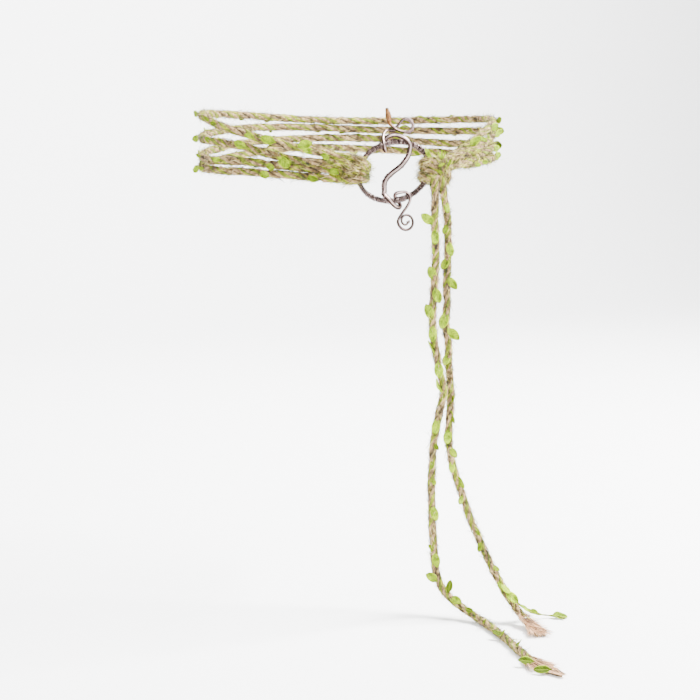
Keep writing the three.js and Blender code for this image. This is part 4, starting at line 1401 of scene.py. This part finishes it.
@shared
def snake_wire():
    return metal(
        "snake_wire", buckle().wire, buckle().tarnish, buckle().rubbed, 0.28, 260.0)


@shared
def binding_wire():
    return metal(
        "binding_wire", BINDING, buckle().tarnish, buckle().rubbed, 0.30, 500.0)


@shared
def head_copper():
    return metal(
        "head_copper", buckle().copper, COPPER_TARNISH_AND_SHADE, COPPER_RUBBED_HIGHLIGHT, 0.30, 700.0)


@shared
def pale_floor():
    s = Surface("pale_floor")
    grain = s.noise(s.place(), 40.0, 3.0)
    floor = bpy.context.scene.belt_studio.floor
    base = s.mix(grain, floor, [part * 1.03 for part in floor])
    return s.finish({"Base Color": base}, roughness=0.75)


# Operators

class BELT_OT_camera(bpy.types.Operator):
    """Add the camera at the photograph's viewing angle"""

    bl_idname = "belt.camera"
    bl_label = "Camera"

    def execute(self, context):
        studio = context.scene.belt_studio
        a, e = studio.azimuth, studio.elevation
        back = Vector((math.sin(a) * math.cos(e), -math.cos(a) * math.cos(e), math.sin(e)))
        data = bpy.data.cameras.new("camera")
        data.sensor_width = 36
        data.lens = studio.lens
        camera = bpy.data.objects.new("camera", data)
        context.scene.collection.objects.link(camera)
        camera.location = Vector((0, 0, studio.target_height)) + back * studio.distance
        camera.rotation_mode = "QUATERNION"
        camera.rotation_quaternion = (-back).to_track_quat("-Z", "Y")
        context.scene.camera = camera
        return {"FINISHED"}


def add_leafy_twine(name, route, seed, leaves, outward_at, first, last=None, fray=None):
    """A stretch of leafy twine as three pieces: its plies and ribbons, its fuzz and its leaves."""
    rope, fuzz, green = Skin(), Skin(), Skin()
    add_twine(rope, route, seed, first, last, fray)
    laid = route.steps - round(FUZZ_FRAY * fray.length / route.step) if fray else last
    add_fuzz(fuzz, route, seed + 1, first, laid, grounded=bool(fray))
    add_leaves(green, route, leaves, outward_at, seed + 2, first, last)
    return (
        rope.piece(f"{name}_twine", jute_fibre(), "leafy_jute", name),
        fuzz.piece(f"{name}_fuzz", loose_fibre(), "leafy_jute"),
        green.piece(f"{name}_leaves", leaf_cloth(), "leafy_jute"),
    )


def add_tail(name, offsets, leaves, fray, seed):
    """A free tail: its twine is the cord, and its fuzz, leaves and loose ends go with it."""
    route, first = tail_route(offsets)
    rope, fuzz, green = add_leafy_twine(
        name, route, seed, leaves, to_view, first, fray=fray)
    skin = Skin()
    add_brush(skin, route, fray, seed + 3)
    brush = skin.piece(f"{name}_frayed_end", loose_fibre(), "leafy_jute")
    round((route.steps - first) * route.step, 3)


# A frayed end's fibres, in millimetres: their length and thickness, how far they start from the
# cord's line to the sides and upwards, how far they pass its end, and the shades among them
BRUSH_LENGTH = (9, 17)
BRUSH_THICKNESS = (0.25, 0.55)
BRUSH_HALF = 2.2
BRUSH_LIFT = (-1.5, 1.2)
BRUSH_PAST = 4
BRUSH_SHADES = (0.3, 0.75, 1.0, 1.0)

# The least height of their roots off the floor, how they turn out and close again, and how much
# wider than the plies they spread
BRUSH_FLOOR = 0.5 * MM
BRUSH_OPENS = 0.42
BRUSH_CLOSES = -0.30
BRUSH_SPREAD = 1.8

# The share of the frayed length on which fibres start and the one from which they close, how much
# lower they start at the tip, and how they bend to the sides and upwards
BRUSH_ROOTS = 0.85
BRUSH_CLOSES_FROM = 0.45
BRUSH_SINKS = 0.6
BRUSH_BEND = 0.15
BRUSH_RISE = (-0.03, 0.07)


def add_brush(skin, route, fray, seed):
    """Fibres of the untwisted plies, which lie on the floor."""
    rng = random.Random(seed)
    for _ in range(FRAY_FIBRES):
        loose = rng.uniform(0.0, BRUSH_ROOTS)
        k = route.steps - round((1 - loose) * fray.length / route.step)
        across = route.tangents[k].cross(UP).normalized()
        half = fray_opening(fray, loose) * BRUSH_SPREAD * fray.spread + BRUSH_HALF * MM
        place = rng.uniform(-1, 1)
        root = route.points[k] + across * (place * half)
        lift = rng.uniform(*BRUSH_LIFT) * MM * (1 - BRUSH_SINKS * loose)
        root.z = max(root.z + lift, FLOOR_HEIGHT + BRUSH_FLOOR)
        later = min(route.steps, k + 4)
        aim = (route.points[later] - route.points[k - 1]).normalized()
        closing = fray.closes and loose > BRUSH_CLOSES_FROM
        turn = BRUSH_CLOSES if closing else BRUSH_OPENS
        direction = (aim + across * (place * turn)).normalized()
        reach = (1 - loose) * fray.length + BRUSH_PAST * MM
        length = min(rng.uniform(*BRUSH_LENGTH) * MM, reach)
        bow = across * rng.uniform(-BRUSH_BEND, BRUSH_BEND)
        bow.z = rng.uniform(*BRUSH_RISE) - direction.z
        thickness = rng.uniform(*BRUSH_THICKNESS) * MM
        shade = rng.choice(BRUSH_SHADES)
        add_hair(skin, root, direction, bow, length, thickness, (0.0, shade, 1.0))


class BELT_OT_tails(bpy.types.Operator):
    """Hang the two free tails and the end of the green ribbon"""

    bl_idname = "belt.tails"
    bl_label = "Tails"

    def execute(self, context):
        add_tail("tail_long", TAIL_LONG, LONG_LEAVES, LONG_FRAY, LONG_SEED)
        add_tail("tail_short", TAIL_SHORT, SHORT_LEAVES, SHORT_FRAY, SHORT_SEED)
        add_ribbon_end()
        return {"FINISHED"}


def add_ribbon_end():
    """The green ribbon leaves the short tail and ends by itself, in a leaf."""
    route = Route(from_knot(RIBBON_END), RIBBON_STEP, facing=RIBBON_FACE)
    skin = Skin()
    rings = []
    for k, point in enumerate(route.points):
        share = k / route.steps
        turn = 0.9 * math.sin(7 * share)
        wide = RIBBON_WIDE * (1 + 0.3 * wobble(share * 16, 3, 1) - 0.6 * smooth(0.55, 0.7, share))
        across = route.binormals[k] * math.cos(turn) + route.normals[k] * math.sin(turn)
        face = route.tangents[k].cross(across) * (RIBBON_THICK / 2)
        rings.append(skin.oval(
            point, across * (wide / 2), face, RIBBON_SIDES, share * 3, RIBBON_TONE, spread=2.0))
    skin.bridge(rings)
    ribbon = skin.piece("ribbon_end", jute_fibre(), "leafy_jute")
    skin = Skin()
    add_leaves(skin, route, RIBBON_LEAVES, to_view, RIBBON_SEED)
    green = skin.piece("ribbon_end_leaves", leaf_cloth(), "leafy_jute")


def spaced_leaves(strand, length):
    """Leaves at even spaces round the sides and back, which turn to either side."""
    rng = random.Random(SPACED_SEED + strand)
    stretch = (SPACED_END - SPACED_START) * length
    count = round(stretch / bpy.context.scene.belt_leaf.spacing)
    leaves = []
    for i in range(count):
        at = lerp(SPACED_START, SPACED_END, (i + rng.uniform(0.2, 0.8)) / count)
        aim = rng.uniform(-16, 16) + (180 if i % 3 == 2 else 0)
        size, tone = rng.uniform(0.75, 1.0), rng.uniform(0.3, 0.95)
        leaves.append(Leaf(at, aim, rng.uniform(12, 20), 0, size, tone))
    return leaves


class BELT_OT_strands(bpy.types.Operator):
    """Lay the four strands round the waist, with their leaves"""

    bl_idname = "belt.strands"
    bl_label = "Waist strands"

    def execute(self, context):
        for strand in range(STRANDS):
            route, first, last = strand_route(strand)
            leaves = FRONT_LEAVES[strand] + spaced_leaves(strand, (last - first) * route.step)
            add_leafy_twine(
                f"waist_strand_{strand + 1}", route, strand_seed(strand), leaves, from_waist,
                first, last,
            )
        return {"FINISHED"}


class BELT_OT_hitch(bpy.types.Operator):
    """Turn the four strands round the ring's left side"""

    bl_idname = "belt.hitch"
    bl_label = "Left hitch"

    def execute(self, context):
        turns, fuzz = Skin(), Skin()
        for strand in range(STRANDS):
            route, first, _ = strand_route(strand)
            seed = strand_seed(strand)
            add_twine(turns, route, seed, 0, first)
            add_fuzz(fuzz, route, seed + 1, 0, first, density=2.3, pale=0.25)
        turns.piece("left_hitch_twine", jute_fibre(), "jute", "left_hitch")
        fuzz.piece("left_hitch_fuzz", loose_fibre(), "jute")
        return {"FINISHED"}


class BELT_OT_knot(bpy.types.Operator):
    """Tie the knot round the ring's right side, with the leaves and ribbon caught in it"""

    bl_idname = "belt.knot"
    bl_label = "Right knot"

    def execute(self, context):
        turns, fuzz, leaves = Skin(), Skin(), Skin()
        for number, route in enumerate(knot_turns()):
            seed = KNOT_SEED + KNOT_SEED_STEP * number
            add_twine(turns, route, seed)
            add_fuzz(fuzz, route, seed + 1, density=2.2, pale=0.25)
        for strand in range(STRANDS):
            route, _, last = strand_route(strand)
            seed = strand_seed(strand)
            add_twine(turns, route, seed, last)
            add_fuzz(fuzz, route, seed + 2, last - KNOT_FUZZ_FROM, density=1.7, pale=0.15)
        for offsets, seed in ((TAIL_LONG, LONG_SEED), (TAIL_SHORT, SHORT_SEED)):
            route, first = tail_route(offsets)
            add_twine(turns, route, seed, 0, first)
            add_fuzz(fuzz, route, seed + 2, 0, first, density=1.5)
        face = KNOT_FACE.normalized()
        right = UP.cross(face).normalized()
        up, front = face.cross(right), knot_centre() + face * KNOT_FRONT
        for number, row in enumerate(KNOT_LEAVES):
            root, tip = (
                front + (right * along + up * rise) * MM for along, rise in (row.root, row.tip))
            size = (tip - root).length / context.scene.belt_leaf.length
            place = as_place((tip - root).normalized(), face, root)
            add_leaf(leaves, place, size, row.tone, KNOT_LEAF_SEED + number, row.narrow)
        turns.piece("right_knot_twine", jute_fibre(), "jute", "right_knot")
        fuzz.piece("right_knot_fuzz", loose_fibre(), "jute")
        leaves.piece("right_knot_leaves", leaf_cloth(), "leafy_jute")
        return {"FINISHED"}


# Steps along the ring, the snake and its head, and in one turn of a winding
RING_STEP = 1.6 * MM
SNAKE_STEP = 0.6 * MM
HEAD_STEP = 0.5 * MM
WINDING_STEPS = 10

# Sides of the wires' sections, and how much of the grain one step along them takes up
RING_SIDES = 12
SNAKE_SIDES = 10
HEAD_SIDES = 16
WINDING_SIDES = 5
WIRE_GRAIN = 0.06
WINDING_GRAIN = 0.1

# How close the ring's winding lies, in its own wires, how deep finer wire sinks into what it is
# wound on, and how unevenly each of the windings lies
RING_PITCH = 1.6
SUNK = 0.1 * MM
RING_SLIP = 0.35
LASHING_SLIP = 1.2
BINDING_SLIP = 0.8
NECK_SLIP = 0.5


def even(girth):
    """The same width and thickness all along a wire."""
    return lambda _: (girth, girth)


def add_winding(skin, route, girth_at, wire, turns, slip, seed):
    """Fine wire wound round a route, for the turns' stretch and pitch. girth_at gives the width
    and thickness that it is wound on, and slip how unevenly it lies."""
    count = round((turns.end - turns.start) * route.length / turns.pitch * WINDING_STEPS)
    centres, outs = [], []
    for i in range(count):
        share = lerp(turns.start, turns.end, i / (count - 1))
        place = share * route.steps
        k = min(int(place), route.steps - 1)
        angle = 2 * math.pi * (i / WINDING_STEPS + slip * wobble(share * 60, seed, 1))
        wide, thick = girth_at(share)
        middle = route.points[k].lerp(route.points[k + 1], place - k)
        shift = route.tangents[k] * (turns.pitch * 0.4 * slip * wobble(i * 0.35, seed, 3))
        out = route.normals[k] * (math.cos(angle) * (thick + wire) / 2)
        out += route.binormals[k] * (math.sin(angle) * (wide + wire) / 2)
        centres.append(middle + shift + out)
        outs.append(out)
    add_wire(skin, centres, outs, repeat(wire), repeat(plain()), WINDING_SIDES, WINDING_GRAIN)


class BELT_OT_ring(bpy.types.Operator):
    """Bend the oval ring and wind it with fine wire"""

    bl_idname = "belt.ring"
    bl_label = "Ring"

    def execute(self, context):
        points = [by_ring(angle, 0, 0) for angle in range(0, 360, 15)]
        route = Route(points, RING_STEP, closed=True, facing=RING_FRONT)
        wire = buckle().winding
        core = buckle().ring_wire - 2 * wire
        skin = Skin()
        # The core shows as painted shade in the gaps between the winding's turns
        add_wire(
            skin, route.points, repeat(RING_FRONT), repeat(core + 0.2 * MM), repeat(plain()),
            RING_SIDES, WIRE_GRAIN,
        )
        skin.piece("ring_core", shaded_core(), "wound_iron", "buckle_ring")
        skin = Skin()
        close = Turns(0.0, 1.0, RING_PITCH * wire)
        add_winding(skin, route, even(core), wire, close, RING_SLIP, seed=5)
        skin.piece("ring_winding", wound_wire(), "wound_iron")
        skin = Skin()
        outer = even(buckle().ring_wire - SUNK)
        for turns in LASHINGS:
            add_winding(skin, route, outer, BINDING_WIRE, turns, LASHING_SLIP, seed=9)
        skin.piece("ring_lashings", binding_wire(), "wound_iron")
        return {"FINISHED"}


def snake_rows():
    """Points and girths of the snake, from the tip of its tail to its neck."""
    b = buckle()
    crossing = (b.ring_wire + b.snake_wire) / 2 + GAP

    def wrap(table):
        rows = []
        for i, row in enumerate(table):
            point = by_ring(row.angle, row.off * crossing, row.lift * crossing, row.share)
            share = max(0.0, i / (len(table) - 1) - FULL_GIRTH) / (1 - FULL_GIRTH)
            rows.append((point, lerp(b.snake_wire, b.fine_wire, share)))
        return rows

    spiral = []
    for i in range(SPIRAL_ROWS + 1):
        share = i / SPIRAL_ROWS
        angle = SPIRAL_START + SPIRAL_SWEEP * share
        radius = SPIRAL_RADIUS * (1 - SPIRAL_CLOSING * share ** 1.6)
        along = SPIRAL_ALONG * SPIRAL_RADIUS + radius * math.cos(angle)
        across = SPIRAL_ACROSS * SPIRAL_RADIUS - b.ring_height / 2 + radius * math.sin(angle)
        spiral.append((in_ring(along, across, 0), lerp(b.fine_wire, b.tip_wire, share)))
    inner = spiral[-1][0]
    hook = [(inner + RING_LONG * x * MM + RING_SHORT * y * MM, b.tip_wire) for x, y in TIP_HOOK]

    round_loop = [
        (math.cos(math.radians(a)), math.sin(math.radians(a)), (110 - a) / 240)
        for a in range(110, -131, -30)
    ]
    loop = [
        (in_ring(
            (LOOP_ALONG + x) * LOOP_RADIUS, b.ring_height / 2 + (LOOP_ACROSS + y) * LOOP_RADIUS,
            lift * MM,
        ), b.fine_wire)
        for x, y, lift in [*NECK_BEFORE, *round_loop, *NECK_AFTER]
    ]
    below = (wrap(SNAKE_BOTTOM) + spiral + hook)[::-1]
    return below + [(in_ring(0, 0, 0), b.snake_wire)] + wrap(SNAKE_TOP) + loop


# The snake's three wires, each with its side and how bright it is on the S, and how bright the
# thin ends are. The brightness is painted: highlight on the middle wire, shade on the side ones
SNAKE_WIRES = ((-1, 0.1), (0, 0.85), (1, 0.3))
THIN_SHINE = 0.42

# The wires' shares of the girth on the S, how far the middle one stands out as a share of its own
# thickness, and the share of the widening from which the side wires start
SIDE_SHARE = 0.40
MIDDLE_SHARE = 0.46
MIDDLE_LIFT = 0.25
SIDE_FROM = 0.06


class BELT_OT_snake(bpy.types.Operator):
    """Shape the snake from three wires side by side, bound with a finer one"""

    bl_idname = "belt.snake"
    bl_label = "Snake"

    def execute(self, context):
        rows = snake_rows()
        route = Route(
            [point for point, _ in rows], SNAKE_STEP, facing=RING_FRONT,
            girths=[girth for _, girth in rows],
        )
        fine, full = buckle().fine_wire, buckle().snake_wire
        skin = Skin()
        for side, shine in SNAKE_WIRES:
            centres, girths, tones = [], [], []
            for k, girth in enumerate(route.girths):
                widened = clamped((girth - fine) / (full - fine))
                if side and widened < SIDE_FROM:
                    continue
                if side:
                    wire = SIDE_SHARE * girth * lerp(0.4, 1.0, smooth(SIDE_FROM, 0.4, widened))
                    lift = 0.0
                else:
                    wire = girth * lerp(1.0, MIDDLE_SHARE, widened)
                    lift = MIDDLE_LIFT * wire * widened
                offset = side * (girth - wire) / 2 * smooth(SIDE_FROM, 0.5, widened)
                centres.append(
                    route.points[k] + route.binormals[k] * offset + RING_FRONT * lift)
                girths.append(wire)
                tones.append(plain(lerp(THIN_SHINE, shine, widened)))
            add_wire(
                skin, centres, repeat(RING_FRONT), girths, tones, SNAKE_SIDES, WIRE_GRAIN)
        skin.piece("snake_wires", snake_wire(), "coppered_wire", "snake")
        add_bindings(route)
        add_head(route)
        return {"FINISHED"}


def add_bindings(route):
    """Finer wire bound over parts of the S and round the neck's loop."""
    full = buckle().snake_wire
    wide = [k for k, girth in enumerate(route.girths) if girth > 0.92 * full]
    start, end = wide[0] / route.steps, wide[-1] / route.steps

    def s_girth(share):
        girth = route.girths[route.index(share)]
        return girth - SUNK, 0.80 * girth

    skin = Skin()
    for turns in BINDINGS:
        turns = Turns(lerp(start, end, turns.start), lerp(start, end, turns.end), turns.pitch)
        add_winding(skin, route, s_girth, BINDING_WIRE, turns, BINDING_SLIP, seed=8)
    middle = in_ring(
        LOOP_ALONG * LOOP_RADIUS, buckle().ring_height / 2 + LOOP_ACROSS * LOOP_RADIUS, 0)
    near = [
        k for k, point in enumerate(route.points)
        if (point - middle).length < 1.12 * LOOP_RADIUS and k > wide[-1]
    ]
    neck = even(buckle().fine_wire - 0.5 * MM)
    turns = Turns(
        lerp(near[0], near[-1], 0.2) / route.steps, near[-1] / route.steps, NECK_PITCH)
    add_winding(skin, route, neck, BINDING_WIRE, turns, NECK_SLIP, seed=3)
    skin.piece("snake_bindings", binding_wire(), "coppered_wire")


# Shares of the head's length at which the neck turns into it, and at which its middle and its
# snout are from there; how far its core lies inside its form, how much slimmer than the form it
# is where the copper wire is wound on, and the turns of that wire
HEAD_TURN = 0.1
HEAD_MIDDLE = 0.35
HEAD_SNOUT = 0.9
HEAD_INSIDE = 0.3 * MM
HEAD_SLIMMER = 0.8 * MM
HEAD_TURNS = Turns(0.04, 0.97, HEAD_PITCH)


def add_head(route):
    """The head: a flat form tapered to the snout, covered with turns of copper wire."""
    b = buckle()
    neck, ahead = route.points[-1], route.tangents[-1]
    slope = Quaternion(RING_FRONT, HEAD_SLOPE) @ RING_SHORT
    turn = neck + ahead * (HEAD_TURN * b.head_length)
    line = Route(
        [neck - ahead * MM, turn, turn + slope * (HEAD_MIDDLE * b.head_length),
         turn + slope * (HEAD_SNOUT * b.head_length)],
        HEAD_STEP, facing=RING_FRONT,
    )

    def girth_at(share):
        i = max(j for j, row in enumerate(HEAD[:-1]) if row.along <= share + 1e-9)
        low, high = HEAD[i], HEAD[i + 1]
        part = smooth(low.along, high.along, share)
        wide = lerp(low.wide, high.wide, part) * b.head_width
        return wide, lerp(low.thick, high.thick, part) * HEAD_THICKNESS

    def wound_at(share):
        return [girth - HEAD_SLIMMER for girth in girth_at(share)]

    skin = Skin()
    rings = []
    for k, point in enumerate(line.points):
        wide, thick = girth_at(k / line.steps)
        across = line.binormals[k] * (wide / 2 - HEAD_INSIDE)
        face = line.normals[k] * (thick / 2 - HEAD_INSIDE)
        rings.append(skin.oval(point, across, face, HEAD_SIDES, k * WINDING_GRAIN, plain()))
    skin.bridge(rings)
    # The core shows as painted shade between the copper turns
    skin.piece("snake_head_core", shaded_core(), "coppered_wire")
    skin = Skin()
    add_winding(skin, line, wound_at, HEAD_WIRE, HEAD_TURNS, NECK_SLIP, seed=4)
    skin.piece("snake_head", head_copper(), "coppered_wire")


class BELT_OT_stage(bpy.types.Operator):
    """Lay the pale floor and set the soft lights"""

    bl_idname = "belt.stage"
    bl_label = "Stage"

    def execute(self, context):
        studio = context.scene.belt_studio
        mesh = bpy.data.meshes.new("floor")
        reach, far, high, turn = 4.0, 2.6, 3.0, 0.8
        profile = [(-reach, 0.0), (far - turn, 0.0)]
        for i in range(1, 9):
            angle = math.pi / 2 * i / 8
            profile.append((far - turn + turn * math.sin(angle), turn - turn * math.cos(angle)))
        profile.append((far, high))
        points = []
        for along, rise in profile:
            points += [(-reach, along, FLOOR_HEIGHT + rise), (reach, along, FLOOR_HEIGHT + rise)]
        faces = [(2 * i, 2 * i + 1, 2 * i + 3, 2 * i + 2) for i in range(len(profile) - 1)]
        mesh.from_pydata(points, [], faces)
        mesh.polygons.foreach_set("use_smooth", [True] * len(mesh.polygons))
        mesh.materials.append(pale_floor())
        floor = bpy.data.objects.new("floor", mesh)
        context.scene.collection.objects.link(floor)
        belt = (0, -0.05, -0.12)
        add_light("key_light", (1.4, -0.5, 1.6), belt, 0.9, studio.key)
        add_light("front_light", (-1.2, -1.6, 1.0), belt, 0.5, studio.fill)
        add_light("back_light", (0.2, 0.7, 1.5), (0, 2.4, 0.3), 1.2, studio.fill * 2)
        world = bpy.data.worlds.new("studio")
        context.scene.world = world
        world.use_nodes = True
        background = world.node_tree.nodes["Background"]
        background.inputs["Color"].default_value = (0.96, 0.98, 1.0, 1.0)
        background.inputs["Strength"].default_value = studio.sky
        return {"FINISHED"}


def add_light(name, place, target, size, power):
    data = bpy.data.lights.new(name, "AREA")
    data.shape = "SQUARE"
    data.size = size
    data.energy = power
    light = bpy.data.objects.new(name, data)
    bpy.context.scene.collection.objects.link(light)
    light.location = place
    light.rotation_mode = "QUATERNION"
    aim = Vector(target) - Vector(place)
    light.rotation_quaternion = aim.to_track_quat("-Z", "Y")


OPERATORS = (
    BELT_OT_camera, BELT_OT_tails, BELT_OT_strands, BELT_OT_hitch, BELT_OT_knot, BELT_OT_ring,
    BELT_OT_snake, BELT_OT_stage,
)


class BELT_PT_panel(bpy.types.Panel):
    """Settings and pieces of the rope belt"""

    bl_idname = "BELT_PT_panel"
    bl_label = "Rope belt"
    bl_space_type = "VIEW_3D"
    bl_region_type = "UI"
    bl_category = "Rope belt"

    def draw(self, context):
        layout = self.layout
        for key, group in SETTINGS.items():
            box = layout.box()
            for name in group.__annotations__:
                box.prop(getattr(context.scene, key), name)
        for operator in OPERATORS:
            layout.operator(operator.bl_idname)


CLASSES = (*SETTINGS.values(), *OPERATORS, BELT_PT_panel)


def register():
    for one in CLASSES:
        bpy.utils.register_class(one)
    for key, group in SETTINGS.items():
        setattr(bpy.types.Scene, key, PointerProperty(type=group))


def unregister():
    for key in SETTINGS:
        delattr(bpy.types.Scene, key)
    for one in reversed(CLASSES):
        bpy.utils.unregister_class(one)


def main():
    """Build every piece in order."""
    register()
    for operator in OPERATORS:
        group, name = operator.bl_idname.split(".")
        getattr(getattr(bpy.ops, group), name)()


if __name__ == "__main__":
    main()
